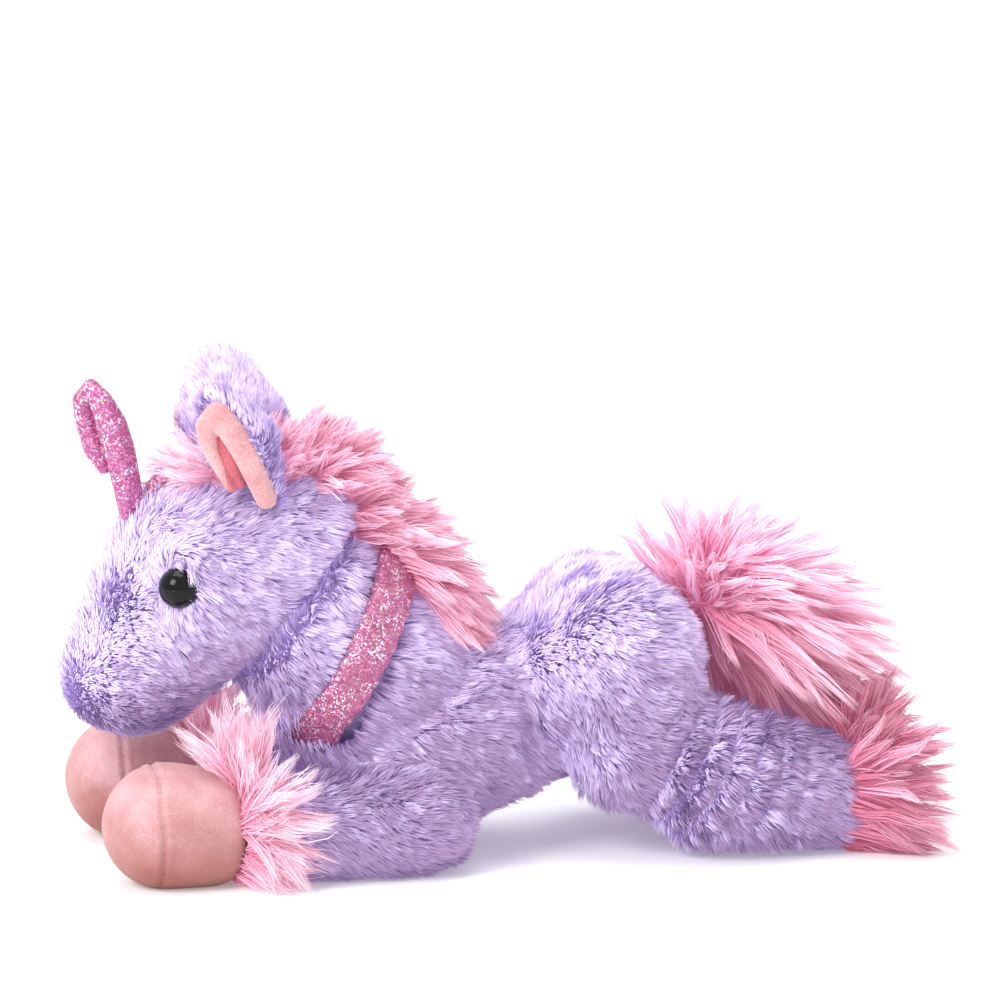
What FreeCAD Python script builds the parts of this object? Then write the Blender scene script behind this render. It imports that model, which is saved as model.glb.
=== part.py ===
"""Plush unicorn lying on its belly: every sewn cover, its stuffing, the long-pile trims, the horn and the eyes.

Frame: +Z up, the unicorn faces -X and its left side is at -Y. The origin is on the floor under the middle of
the bounding box. Millimetres. Each file in parts/ is one sub-part.

A soft piece is made of limbs: two balls with the cone that touches both. A piece's cover is its form less the
same form taken in by the cloth's thickness, and its stuffing is that inner form.
"""

import FreeCAD
import Part
import math
import os

V = FreeCAD.Vector

# --- Driving dimensions -------------------------------------------------------------------------------------
BODY_LENGTH = 300.0         # muzzle to the tips of the hind fringes
CLOTH = 2.5                 # plush cloth with the dense foot of its pile
THIN_CLOTH = 1.4            # short-nap cloth of hooves and glitter cloth of the horn
STUFFING_GAP = 0.15         # between a cover and what fills it
TRIM_GAP = 0.15             # between a cover and a trim sewn on it
MOVE_GAP = 0.5              # between pieces that move against each other
FAR = 400.0                 # longer than anything that is cut

CHEST_RADIUS = 36.0
CHEST_X = -36.0
CHEST_GROUND_GAP = 4.0      # the chest hangs just off the floor
WAIST_RADIUS = 27.0
WAIST_X = 10.0
WAIST_Z = 49.0
RUMP_RADIUS = 28.0
RUMP_X = 35.0
RUMP_Z = 66.0
HIP_HALF_WIDTH = 20.0       # the trunk between the thighs

NECK_RADIUS = 34.0
NECK_FROM_CHEST = (-12.0, 22.0)     # the neck's ball from the chest's centre, along X and Z
NECK_TOP_SHIFT = 9.0                # the neck's top from the head's turning axis, up the joint's face
NECK_RIM_DROP = 9.5                 # the chest's rim under the neck's ball centre
NECK_RIM_TILT = 55.0                # the rim's normal above -X, in degrees
NECK_UP = 15.0                      # how far the neck lifts, in degrees

MUZZLE_RADIUS = 22.0
CHIN_HEIGHT = 42.0
HEAD_RADIUS = 32.0
HEAD_REACH = 43.0           # head ball to muzzle ball
HEAD_PITCH = 51.5           # the muzzle below -X, in degrees
NAPE_RADIUS = 30.0
NAPE_FROM_HEAD = (27.0, 6.0)
HEAD_SEAT = 26.0            # head ball to the face where the head turns on the neck
SEAT_TILT = 36.9            # that face's normal above -X, in degrees

EYE_RADIUS = 7.0
EYE_FORWARD = 14.5          # ahead of the head ball's centre
EYE_RAISE = 0.5
EYE_SINK = 1.2
EYE_CENTRE_OUT = 0.6
EYE_STEM_RADIUS = 1.6
EYE_STEM_LENGTH = 8.0
STEM_GAP = 0.1
WASHER_RADIUS = 8.0
WASHER_THICKNESS = 1.6

EAR_ROOT = (-88.0, 20.3, 128.0)     # on the right side, as all of the ear's points
EAR_ROOT_RADIUS = 6.5
EAR_MIDDLE_FROM_ROOT = (0.0, 4.0, 18.0)
EAR_MIDDLE_RADIUS = 12.0
EAR_TIP_FROM_ROOT = (0.5, 7.0, 32.0)
EAR_TIP_RADIUS = 6.0
EAR_LEANS = {"left": 27.0, "right": 3.0}    # how far forward each ear is tipped, in degrees
EAR_OPENS = (-0.8, 0.6, 0.05)       # the way the ear's cup faces before it is tipped
EAR_SHELL_DEPTH = 7.0
EAR_LINING_DEPTH = 2.5
EAR_FORWARD = 9.0                   # how far an ear folds forward and back, in degrees
EAR_BACK = 8.0

HORN_ROOT = (-126.6, 121.0)
HORN_ROOT_RADIUS = 4.7
HORN_SHAFT = (-130.6, 136.0)
HORN_SHAFT_RADIUS = 5.3
HORN_BULGE = (-133.6, 148.0)
HORN_BULGE_RADIUS = 6.4
HORN_TIP = (-138.3, 157.0)
HORN_TIP_RADIUS = 6.0
HORN_FOLD = (-140.4, 149.5)         # the lobe that the crease parts from the shaft
HORN_FOLD_RADIUS = 5.0
HORN_FOLD_END = (-136.4, 138.0)
HORN_FOLD_END_RADIUS = 3.4
HORN_FOLD_SIDE = 2.6                # how far the lobe lies to the right of the shaft
HORN_TAB = ((-120.2, 125.6), (-116.5, 130.6))
HORN_TAB_RADIUS = 3.0
HORN_FORWARD = 18.0                 # how far the horn bends forward and back, in degrees
HORN_BACK = 4.0

COLLAR_CENTRE = (-57.0, 68.5)
COLLAR_TILT = 26.6                  # the collar's normal above -X, in degrees
COLLAR_WIDTH = 14.5
COLLAR_THICKNESS = 3.6

FORELEG_SPREAD = 37.5
FORELEG_RADIUS = 17.4
SHOULDER_X = -38.0
WRIST_X = -94.0
WRIST_RADIUS = 16.8
FORE_SEAM_X = -98.5                 # where the hoof is sewn to the leg
FORE_HOOF_RADIUS = 20.2
FORE_HOOF_X = -122.8
FORE_HOOF_HEEL_RADIUS = 19.0
FORE_HOOF_HEEL_X = -110.0
FORE_FRINGE_RADIUS = 25.0
FORE_FRINGE_X = -89.0
SOLE_FLAT = 0.4                     # how far a leg or hoof is pressed flat by the floor

THIGH_RADIUS = 27.0
THIGH_CENTRE_OUT = 22.0
THIGH_LOW_RADIUS = 25.0
THIGH_LOW_FROM_HIP = (4.0, -26.0)
HIP_FORWARD = 32.0                  # how far the hind leg swings forward, in degrees
HIP_BACK = 4.0
HIP_SPARE = 3.0                     # how much further than that its bay is cut
HIND_SPREAD = 29.5
KNEE_X = 66.0
KNEE_RADIUS = 23.0
KNEE_LIFT = 3.0
ANKLE_X = 106.0
ANKLE_RADIUS = 19.0
HIND_SEAM_X = 114.5
HIND_HOOF_RADIUS = 17.5
HIND_HOOF_X = 119.0
HIND_FRINGE_RADIUS = 24.0
HIND_FRINGE_X = 122.0
HIND_FRINGE_TIP_RADIUS = 14.0
KNEE_UP = 5.0                       # how far the shank lifts and drops, in degrees
KNEE_DOWN = 15.0

TAIL_ROOT_FROM_RUMP = (29.8, 15.6)
TAIL_ROOT_RADIUS = 5.0
TAIL_UPPER_FROM_ROOT = (10.0, 11.0)
TAIL_UPPER_RADIUS = 19.0
TAIL_MIDDLE_FROM_ROOT = (33.0, -5.0)
TAIL_MIDDLE_RADIUS = 26.0
TAIL_END_FROM_ROOT = (60.0, -25.0)
TAIL_END_RADIUS = 12.0
TAIL_CORE_RADIUS = 3.5
TAIL_UP = 20.0                      # how far the tail lifts, in degrees

MANE_POLL = ((-98.0, 135.0, 9.0), (-72.0, 137.0, 15.0), (-50.0, 128.0, 15.0))
MANE_NECK = ((-40.0, 119.0, 15.0), (-27.0, 103.0, 12.0), (-21.0, 95.0, 9.0))
MANE_WITHERS = ((-15.0, 80.0, 10.0), (-3.0, 74.0, 8.0))
FORELOCK = ((-100.0, 131.0, 8.0), (-113.0, 131.0, 6.0))

SIDES = (("left", -1), ("right", 1))

# --- Places worked out from them ----------------------------------------------------------------------------


def slope(degrees):
    """Unit vector in the XZ plane, that many degrees above -X."""
    a = math.radians(degrees)
    return V(-math.cos(a), 0, math.sin(a))


def mid(x, z):
    """A point of the middle plane."""
    return V(x, 0, z)


CHEST = mid(CHEST_X, CHEST_RADIUS + CHEST_GROUND_GAP)
WAIST = mid(WAIST_X, WAIST_Z)
RUMP = mid(RUMP_X, RUMP_Z)
NECK_BALL = CHEST + mid(*NECK_FROM_CHEST)
MUZZLE = mid(-BODY_LENGTH / 2 + MUZZLE_RADIUS, CHIN_HEIGHT + MUZZLE_RADIUS)
HEAD = MUZZLE - slope(-HEAD_PITCH) * HEAD_REACH
NAPE = HEAD + mid(*NAPE_FROM_HEAD)
SEAT_NORMAL = slope(SEAT_TILT)
SEAT = HEAD - SEAT_NORMAL * HEAD_SEAT
SEAT_UP = V(SEAT_NORMAL.z, 0, -SEAT_NORMAL.x)
NECK_TOP = SEAT + SEAT_UP * NECK_TOP_SHIFT
RIM_NORMAL = slope(NECK_RIM_TILT)
RIM = NECK_BALL - RIM_NORMAL * NECK_RIM_DROP
COLLAR = mid(*COLLAR_CENTRE)
COLLAR_NORMAL = slope(COLLAR_TILT)
SHOULDER = mid(SHOULDER_X, FORELEG_RADIUS - SOLE_FLAT)
HIP = mid(RUMP_X, RUMP_Z)
THIGH_LOW = HIP + mid(*THIGH_LOW_FROM_HIP)
KNEE = mid(KNEE_X, KNEE_RADIUS + KNEE_LIFT)
TAIL_ROOT = RUMP + mid(*TAIL_ROOT_FROM_RUMP)
FORE_BAY = FORELEG_SPREAD - FORELEG_RADIUS - MOVE_GAP   # the trunk's half width between the forelegs


def aside(point, out, side):
    """The point of the middle plane, moved out to one side of the body."""
    return V(point.x, side * out, point.z)


# --- Building blocks ----------------------------------------------------------------------------------------


def ball(centre, radius):
    """A solid ball."""
    return Part.makeSphere(radius, centre)


def limb(start, start_radius, end, end_radius):
    """Two balls and the cone that touches both, as one turned solid."""
    reach = end - start
    length = reach.Length
    lean = (start_radius - end_radius) / length
    rise = math.sqrt(1 - lean * lean)

    def on_arc(x, radius, along):
        return V(x + radius * along, radius * math.sqrt(max(0, 1 - along * along)), 0)

    first = V(-start_radius, 0, 0)
    touch_start = V(start_radius * lean, start_radius * rise, 0)
    touch_end = V(length + end_radius * lean, end_radius * rise, 0)
    last = V(length + end_radius, 0, 0)
    arc_start = Part.Arc(first, on_arc(0, start_radius, (lean - 1) / 2), touch_start).toShape()
    arc_end = Part.Arc(touch_end, on_arc(length, end_radius, (lean + 1) / 2), last).toShape()
    wire = Part.Wire([arc_start, Part.makeLine(touch_start, touch_end), arc_end, Part.makeLine(last, first)])
    turned = Part.Face(wire).revolve(V(0, 0, 0), V(1, 0, 0), 360)
    solid = turned.Solids[0] if turned.Solids else Part.Solid(turned.Shells[0])
    if solid.Volume < 0:
        solid.reverse()
    solid.Placement = FreeCAD.Placement(start, FreeCAD.Rotation(V(1, 0, 0), reach))
    return solid


def chain(stations):
    """Limbs through stations of (point, radius), as one solid."""
    limbs = [limb(a, ra, b, rb) for (a, ra), (b, rb) in zip(stations, stations[1:])]
    return join(limbs)


def join(solids):
    """The union of solids."""
    whole = solids[0]
    for other in solids[1:]:
        whole = whole.fuse(other)
    return whole


def less(solid, *tools):
    """The solid with tools cut away."""
    for tool in tools:
        solid = solid.cut(tool)
    return solid


def beyond(point, normal, shift=0.0):
    """The half space on the normal's side of the plane through point, moved along the normal by shift."""
    block = Part.makeBox(FAR, 2 * FAR, 2 * FAR, V(0, -FAR, -FAR))
    block.Placement = FreeCAD.Placement(point + normal * shift, FreeCAD.Rotation(V(1, 0, 0), normal))
    return block


def outside_of(side, out):
    """The half space further than out to one side."""
    return beyond(V(0, side * out, 0), V(0, side, 0))


def floor():
    """The half space under the floor."""
    return beyond(V(0, 0, 0), V(0, 0, -1))


def disc_across(centre, radius, start_out, side):
    """A round bar along Y, from start_out outwards on one side."""
    return Part.makeCylinder(radius, FAR, V(centre.x, side * start_out, centre.z), V(0, side, 0))


def turned(solid, pivot, degrees):
    """A copy turned about the Y line through pivot, positive lifting what lies behind it (+X)."""
    copy = solid.copy()
    copy.rotate(pivot, V(0, -1, 0), degrees)
    return copy


def shell_and_stuffing(form, cloth):
    """A form's cover and what fills it. form(inset) gives the form taken in by inset."""
    cover = form(0).cut(form(cloth))
    return cover, form(cloth + STUFFING_GAP)


def swung(point, pivot, degrees):
    """A point of the middle plane turned about pivot, positive lifting what lies behind it."""
    a = math.radians(degrees)
    x, z = point.x - pivot.x, point.z - pivot.z
    return mid(pivot.x + x * math.cos(a) - z * math.sin(a), pivot.z + x * math.sin(a) + z * math.cos(a))


# --- Trunk --------------------------------------------------------------------------------------------------


def foreleg_bay(side, inset):
    """The room that a foreleg swings in, from lying forward to hanging down."""
    clear = MOVE_GAP + inset
    out = FORE_BAY - inset
    radius = FORELEG_RADIUS + clear
    x, z = SHOULDER.x, SHOULDER.z
    ahead = Part.makeBox(FAR, FAR, FAR, V(x - FAR, 0, z + radius - FAR))
    below = Part.makeBox(FAR, FAR, FAR, V(x + radius - FAR, 0, z - FAR))
    room = join([ahead, below])
    room.translate(V(0, out if side > 0 else -out - FAR, 0))
    return room.fuse(disc_across(SHOULDER, radius, out, side))


def hip_bay(side, inset):
    """The room that a thigh swings in beside the trunk."""
    out = HIP_HALF_WIDTH - inset
    steps = 7
    start, travel = HIP_BACK + HIP_SPARE, HIP_BACK + HIP_FORWARD + HIP_SPARE * 2
    sweep = [start - travel * i / steps for i in range(steps + 1)]
    radius = THIGH_LOW_RADIUS + MOVE_GAP + inset
    rooms = [disc_across(HIP, THIGH_RADIUS + MOVE_GAP + inset, out, side)]
    for a in sweep:
        rooms.append(disc_across(swung(THIGH_LOW, HIP, a), radius, out, side))
        rooms.append(disc_across(swung((HIP + THIGH_LOW) / 2, HIP, a), radius + 1.5, out, side))
    return join(rooms)


def trunk_form(inset):
    """Chest, waist and rump, open for the neck's ball and for the legs."""
    form = chain([(CHEST, CHEST_RADIUS - inset), (WAIST, WAIST_RADIUS - inset), (RUMP, RUMP_RADIUS - inset)])
    form = less(
        form,
        ball(NECK_BALL, NECK_RADIUS + MOVE_GAP + inset),
        beyond(RIM, RIM_NORMAL, -inset),
        beyond(COLLAR, COLLAR_NORMAL, -COLLAR_WIDTH / 2 - MOVE_GAP - inset),
    )
    for _, side in SIDES:
        form = less(form, foreleg_bay(side, inset), hip_bay(side, inset))
    return form


def build_trunk():
    """The trunk's cover and stuffing, and the end of the mane on the withers."""
    cover, stuffing = shell_and_stuffing(trunk_form, CLOTH)
    above = chain_of_grown(MANE_NECK, MOVE_GAP)
    swept = [turned(above, NECK_BALL, -NECK_UP * step / 3) for step in range(4)]
    swept += [ball(NECK_BALL, NECK_RADIUS + COLLAR_THICKNESS + TRIM_GAP + MOVE_GAP)]
    withers = less(chain_of(MANE_WITHERS), trunk_form(-TRIM_GAP), *swept)
    return {"trunk_cover": cover, "trunk_stuffing": stuffing, "mane_withers": largest(withers)}


def chain_of(stations):
    """A chain in the middle plane from stations of (x, z, radius)."""
    return chain([(mid(x, z), radius) for x, z, radius in stations])


# --- Neck ---------------------------------------------------------------------------------------------------


def neck_form(inset):
    """The neck's ball in the chest and the neck up to the head's seat."""
    radius = NECK_RADIUS - inset
    along = NECK_TOP - NECK_BALL
    column = Part.makeCylinder(radius, along.Length * 2, NECK_BALL, along)
    return less(ball(NECK_BALL, radius).fuse(column), beyond(SEAT, SEAT_NORMAL, -MOVE_GAP / 2 - inset))


def collar_band():
    """The glitter collar: a padded band that lies on the neck, across it."""
    half = COLLAR_WIDTH / 2
    band = less(neck_form(-TRIM_GAP - COLLAR_THICKNESS), neck_form(-TRIM_GAP))
    return less(
        band,
        beyond(COLLAR, COLLAR_NORMAL, half),
        beyond(COLLAR - COLLAR_NORMAL * half, COLLAR_NORMAL * -1),
        beyond(SEAT, SEAT_NORMAL, -MOVE_GAP / 2),
    )


def build_neck():
    """The neck's cover and stuffing, the collar and the mane along the neck."""
    cover, stuffing = shell_and_stuffing(neck_form, CLOTH)
    collar = collar_band()
    mane = less(
        chain_of(MANE_NECK),
        neck_form(-TRIM_GAP),
        neck_form(-TRIM_GAP * 2 - COLLAR_THICKNESS).common(collar_slab()),
        beyond(SEAT, SEAT_NORMAL, -MOVE_GAP / 2),
    )
    return {"neck_cover": cover, "neck_stuffing": stuffing, "collar": collar, "mane_neck": mane}


def collar_slab():
    """The slice of space that the collar lies in, with a gap each side."""
    half = COLLAR_WIDTH / 2 + TRIM_GAP
    block = Part.makeBox(2 * half, 2 * FAR, 2 * FAR, V(-half, -FAR, -FAR))
    block.Placement = FreeCAD.Placement(COLLAR, FreeCAD.Rotation(V(1, 0, 0), COLLAR_NORMAL))
    return block


# --- Head ---------------------------------------------------------------------------------------------------


def eye_axis(side):
    """The eye's place on the head's surface and its outward direction."""
    across = math.sqrt(HEAD_RADIUS**2 - EYE_FORWARD**2 - EYE_RAISE**2)
    outward = V(-EYE_FORWARD, side * across, EYE_RAISE) / HEAD_RADIUS
    return HEAD + outward * HEAD_RADIUS, outward


def eye(side):
    """A safety eye: a dome with its stem, which goes in through the cover."""
    place, outward = eye_axis(side)
    back = place - outward * EYE_SINK
    whole = Part.makeSphere(EYE_RADIUS, place + outward * EYE_CENTRE_OUT, outward)
    dome = less(whole, beyond(back, outward * -1))
    return dome.fuse(Part.makeCylinder(EYE_STEM_RADIUS, EYE_STEM_LENGTH, back, outward * -1))


def eye_washer(side):
    """The washer that locks the eye's stem on the inside of the cover."""
    place, outward = eye_axis(side)
    seat = place - outward * (CLOTH + EYE_SINK + STEM_GAP * 2)
    disc = Part.makeCylinder(WASHER_RADIUS, WASHER_THICKNESS, seat, outward * -1)
    return disc.cut(Part.makeCylinder(EYE_STEM_RADIUS + STEM_GAP, FAR, place, outward * -1))


def eye_room(side):
    """What the eye takes out of the cover: its seat and the stem's hole."""
    place, outward = eye_axis(side)
    back = place - outward * EYE_SINK
    seat = Part.makeCylinder(EYE_RADIUS + STEM_GAP, FAR, back - outward * STEM_GAP, outward)
    return seat.fuse(Part.makeCylinder(EYE_STEM_RADIUS + STEM_GAP, EYE_STEM_LENGTH * 1.5, back, outward * -1))


def washer_room(side):
    """What the washer and the stem take out of the stuffing."""
    place, outward = eye_axis(side)
    pocket = Part.makeCylinder(
        WASHER_RADIUS + STUFFING_GAP,
        CLOTH + EYE_SINK + WASHER_THICKNESS + STUFFING_GAP * 2,
        place,
        outward * -1,
    )
    return pocket.fuse(Part.makeCylinder(EYE_STEM_RADIUS + STEM_GAP, EYE_STEM_LENGTH * 1.5, place, outward * -1))


def head_form(inset):
    """Muzzle, head and nape as one form, flat where it turns on the neck, with dimples for ears and horn."""
    form = chain([(MUZZLE, MUZZLE_RADIUS - inset), (HEAD, HEAD_RADIUS - inset)])
    form = form.fuse(limb(HEAD, HEAD_RADIUS - inset, NAPE, NAPE_RADIUS - inset))
    form = less(form, beyond(SEAT, SEAT_NORMAL * -1, -MOVE_GAP / 2 - inset))
    dimples = [ball(ear_root(side), EAR_ROOT_RADIUS + MOVE_GAP + inset) for _, side in SIDES]
    dimples.append(ball(mid(*HORN_ROOT), HORN_ROOT_RADIUS + MOVE_GAP + inset))
    return less(form, *dimples)


def ear_rooms(name, side):
    """The ear with a gap all round, folded back, at rest and folded forward."""
    grown = chain(ear_stations(name, side, MOVE_GAP))
    rooms = []
    for degrees in (-EAR_BACK, 0, EAR_FORWARD):
        copy = grown.copy()
        copy.rotate(ear_root(side), ear_hinge_axis(name, side), degrees)
        rooms.append(copy)
    return rooms


def build_head():
    """The head's cover and stuffing, the eyes with their washers, the poll's mane and the forelock."""
    rooms = [eye_room(side) for _, side in SIDES]
    cover = less(head_form(0).cut(head_form(CLOTH)), *rooms)
    for _, side in SIDES:
        place, outward = eye_axis(side)
        cover = cover.cut(washer_room(side).common(beyond(place, outward * -1, CLOTH + EYE_SINK + STEM_GAP)))
    stuffing = less(head_form(CLOTH + STUFFING_GAP), *[washer_room(side) for _, side in SIDES])
    parts = {"head_cover": cover, "head_stuffing": stuffing}
    for name, side in SIDES:
        parts[f"eye_{name}"] = eye(side)
        parts[f"eye_washer_{name}"] = eye_washer(side)
    solid_head = head_form(-TRIM_GAP)
    ears = [room for name, side in SIDES for room in ear_rooms(name, side)]
    horns = horn_rooms()
    behind = beyond(SEAT, SEAT_NORMAL * -1, -MOVE_GAP / 2)
    poll = less(chain_of(MANE_POLL), solid_head, behind, *ears)
    lock_stations = [(mid(x, z), radius) for x, z, radius in FORELOCK]
    forelock = less(chain(lock_stations), solid_head, chain_of_grown(MANE_POLL, TRIM_GAP), *ears, *horns)
    tab_stations = [(mid(*place), HORN_TAB_RADIUS) for place in HORN_TAB]
    tab = less(chain(tab_stations), solid_head, *horns)
    parts["mane_poll"] = poll
    parts["forelock"] = forelock.cut(chain([(p, r + TRIM_GAP) for p, r in tab_stations]))
    parts["horn_tab"] = tab
    return parts


def chain_of_grown(stations, grow):
    """A chain in the middle plane, each station's radius larger by grow."""
    return chain([(mid(x, z), radius + grow) for x, z, radius in stations])


# --- Ears ---------------------------------------------------------------------------------------------------


def ear_root(side):
    """The centre of an ear's root."""
    return V(EAR_ROOT[0], side * EAR_ROOT[1], EAR_ROOT[2])


def tipped(vector, name, side):
    """A vector of the right ear, on its own side and tipped forward as that ear is."""
    a = math.radians(EAR_LEANS[name])
    x, y, z = vector
    return V(x * math.cos(a) - z * math.sin(a), side * y, x * math.sin(a) + z * math.cos(a))


def ear_hinge_axis(name, side):
    """The line across the ear's root that it folds about, positive folding it forward."""
    stem = tipped(EAR_MIDDLE_FROM_ROOT, name, side)
    axis = stem.cross(tipped(EAR_OPENS, name, side))
    return axis.normalize()


def ear_stations(name, side, grow):
    """The ear's balls, each larger by grow."""
    root = ear_root(side)
    return [
        (root, EAR_ROOT_RADIUS + grow),
        (root + tipped(EAR_MIDDLE_FROM_ROOT, name, side), EAR_MIDDLE_RADIUS + grow),
        (root + tipped(EAR_TIP_FROM_ROOT, name, side), EAR_TIP_RADIUS + grow),
    ]


def build_ear(name, side):
    """An ear: a furry cup and the lining inside it."""
    opens = tipped(EAR_OPENS, name, side).normalize()
    form = chain(ear_stations(name, side, 0))
    hollow, mouth = form.copy(), form.copy()
    hollow.translate(opens * EAR_SHELL_DEPTH)
    mouth.translate(opens * (EAR_SHELL_DEPTH + EAR_LINING_DEPTH))
    shell = form.cut(hollow)
    lining = form.common(hollow).cut(mouth)
    return {f"ear_shell_{name}": shell, f"ear_lining_{name}": lining}


# --- Horn ---------------------------------------------------------------------------------------------------


def horn_form(inset):
    """The soft horn: a shaft that widens upwards, and the lobe that its lengthwise crease parts off."""
    aside_fold = V(0, HORN_FOLD_SIDE, 0)
    tip = (mid(*HORN_TIP), HORN_TIP_RADIUS - inset)
    shaft = chain(
        [
            (mid(*HORN_ROOT), HORN_ROOT_RADIUS - inset),
            (mid(*HORN_SHAFT), HORN_SHAFT_RADIUS - inset),
            (mid(*HORN_BULGE), HORN_BULGE_RADIUS - inset),
            tip,
        ]
    )
    lobe = chain(
        [
            tip,
            (mid(*HORN_FOLD) + aside_fold, HORN_FOLD_RADIUS - inset),
            (mid(*HORN_FOLD_END) + aside_fold, HORN_FOLD_END_RADIUS - inset),
        ]
    )
    return shaft.fuse(lobe)


def horn_rooms():
    """The horn with a gap all round, at rest and at both ends of its bend."""
    grown = horn_form(-MOVE_GAP)
    return [turned(grown, mid(*HORN_ROOT), a) for a in (-HORN_BACK, -HORN_BACK / 2, 0, HORN_FORWARD)]


def build_horn():
    """The horn's glitter cover and its stuffing."""
    cover, stuffing = shell_and_stuffing(horn_form, THIN_CLOTH)
    return {"horn_cover": cover, "horn_stuffing": stuffing}


# --- Forelegs -----------------------------------------------------------------------------------------------


def foreleg_form(side, inset):
    """A foreleg from the shoulder to the seam with its hoof."""
    shoulder = aside(SHOULDER, FORELEG_SPREAD, side)
    wrist = V(WRIST_X, side * FORELEG_SPREAD, WRIST_RADIUS - SOLE_FLAT)
    leg = limb(shoulder, FORELEG_RADIUS - inset, wrist, WRIST_RADIUS - inset)
    ahead = beyond(V(FORE_SEAM_X + inset, 0, 0), V(-1, 0, 0))
    under = beyond(V(0, 0, inset), V(0, 0, -1))
    return less(leg, ahead, under)


def fore_hoof_form(side, inset):
    """A fore hoof, ahead of its seam, pressed flat underneath."""
    y = side * FORELEG_SPREAD
    toe = V(FORE_HOOF_X, y, FORE_HOOF_RADIUS - SOLE_FLAT)
    heel = V(FORE_HOOF_HEEL_X, y, FORE_HOOF_HEEL_RADIUS - SOLE_FLAT)
    hoof = limb(toe, FORE_HOOF_RADIUS - inset, heel, FORE_HOOF_HEEL_RADIUS - inset)
    return less(hoof, beyond(V(FORE_SEAM_X - inset, 0, 0), V(1, 0, 0)), beyond(V(0, 0, inset), V(0, 0, -1)))


def build_foreleg(name, side):
    """A foreleg, its hoof and the long-pile fringe round the seam."""
    cover, stuffing = shell_and_stuffing(lambda inset: foreleg_form(side, inset), CLOTH)
    hoof, hoof_stuffing = shell_and_stuffing(lambda inset: fore_hoof_form(side, inset), THIN_CLOTH)
    centre = V(FORE_FRINGE_X, side * FORELEG_SPREAD, FORE_FRINGE_RADIUS)
    inner_side = outside_of(-side, -FORE_BAY - MOVE_GAP)
    fringe = less(
        ball(centre, FORE_FRINGE_RADIUS),
        foreleg_form(side, -TRIM_GAP),
        fore_hoof_form(side, -TRIM_GAP),
        inner_side,
    )
    return {
        f"foreleg_cover_{name}": cover,
        f"foreleg_stuffing_{name}": stuffing,
        f"fore_hoof_cover_{name}": hoof,
        f"fore_hoof_stuffing_{name}": hoof_stuffing,
        f"fore_fringe_{name}": largest(fringe),
    }


def largest(shape):
    """The largest solid of a shape."""
    return max(shape.Solids, key=lambda s: s.Volume)


# --- Hind legs ----------------------------------------------------------------------------------------------


def thigh_form(side, inset):
    """A thigh: half a ball on the hip, its lower end hollow round the knee's ball."""
    hip = aside(HIP, THIGH_CENTRE_OUT, side)
    low = aside(THIGH_LOW, THIGH_CENTRE_OUT, side)
    knee = aside(KNEE, HIND_SPREAD, side)
    thigh = limb(hip, THIGH_RADIUS - inset, low, THIGH_LOW_RADIUS - inset)
    inner = outside_of(-side, -HIP_HALF_WIDTH - MOVE_GAP - inset)
    return less(thigh, inner, ball(knee, KNEE_RADIUS + MOVE_GAP + inset))


def shank_form(side, inset):
    """A shank from the knee's ball to the seam with its hoof."""
    knee = aside(KNEE, HIND_SPREAD, side)
    ankle = V(ANKLE_X, side * HIND_SPREAD, ANKLE_RADIUS - SOLE_FLAT)
    shank = limb(knee, KNEE_RADIUS - inset, ankle, ANKLE_RADIUS - inset)
    return less(shank, beyond(V(HIND_SEAM_X - inset, 0, 0), V(1, 0, 0)), beyond(V(0, 0, inset), V(0, 0, -1)))


def hind_hoof_form(side, inset):
    """A hind hoof, behind its seam, pressed flat underneath."""
    hoof = ball(V(HIND_HOOF_X, side * HIND_SPREAD, HIND_HOOF_RADIUS - SOLE_FLAT), HIND_HOOF_RADIUS - inset)
    return less(hoof, beyond(V(HIND_SEAM_X + inset, 0, 0), V(-1, 0, 0)), beyond(V(0, 0, inset), V(0, 0, -1)))


def build_thigh(name, side):
    """A thigh's cover and stuffing."""
    cover, stuffing = shell_and_stuffing(lambda inset: thigh_form(side, inset), CLOTH)
    return {f"thigh_cover_{name}": cover, f"thigh_stuffing_{name}": stuffing}


def build_shank(name, side):
    """A shank, its hoof and the long-pile fringe that covers the hoof."""
    cover, stuffing = shell_and_stuffing(lambda inset: shank_form(side, inset), CLOTH)
    hoof, hoof_stuffing = shell_and_stuffing(lambda inset: hind_hoof_form(side, inset), THIN_CLOTH)
    y = side * HIND_SPREAD
    tip = V(BODY_LENGTH / 2 - HIND_FRINGE_TIP_RADIUS, y, HIND_FRINGE_TIP_RADIUS)
    bulk = limb(V(HIND_FRINGE_X, y, HIND_FRINGE_RADIUS), HIND_FRINGE_RADIUS, tip, HIND_FRINGE_TIP_RADIUS)
    fringe = less(bulk, shank_form(side, -TRIM_GAP), hind_hoof_form(side, -TRIM_GAP))
    return {
        f"shank_cover_{name}": cover,
        f"shank_stuffing_{name}": stuffing,
        f"hind_hoof_cover_{name}": hoof,
        f"hind_hoof_stuffing_{name}": hoof_stuffing,
        f"hind_fringe_{name}": largest(fringe),
    }


# --- Tail ---------------------------------------------------------------------------------------------------


def tail_station(from_root, radius):
    """One station of the tail."""
    return TAIL_ROOT + mid(*from_root), radius


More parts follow.
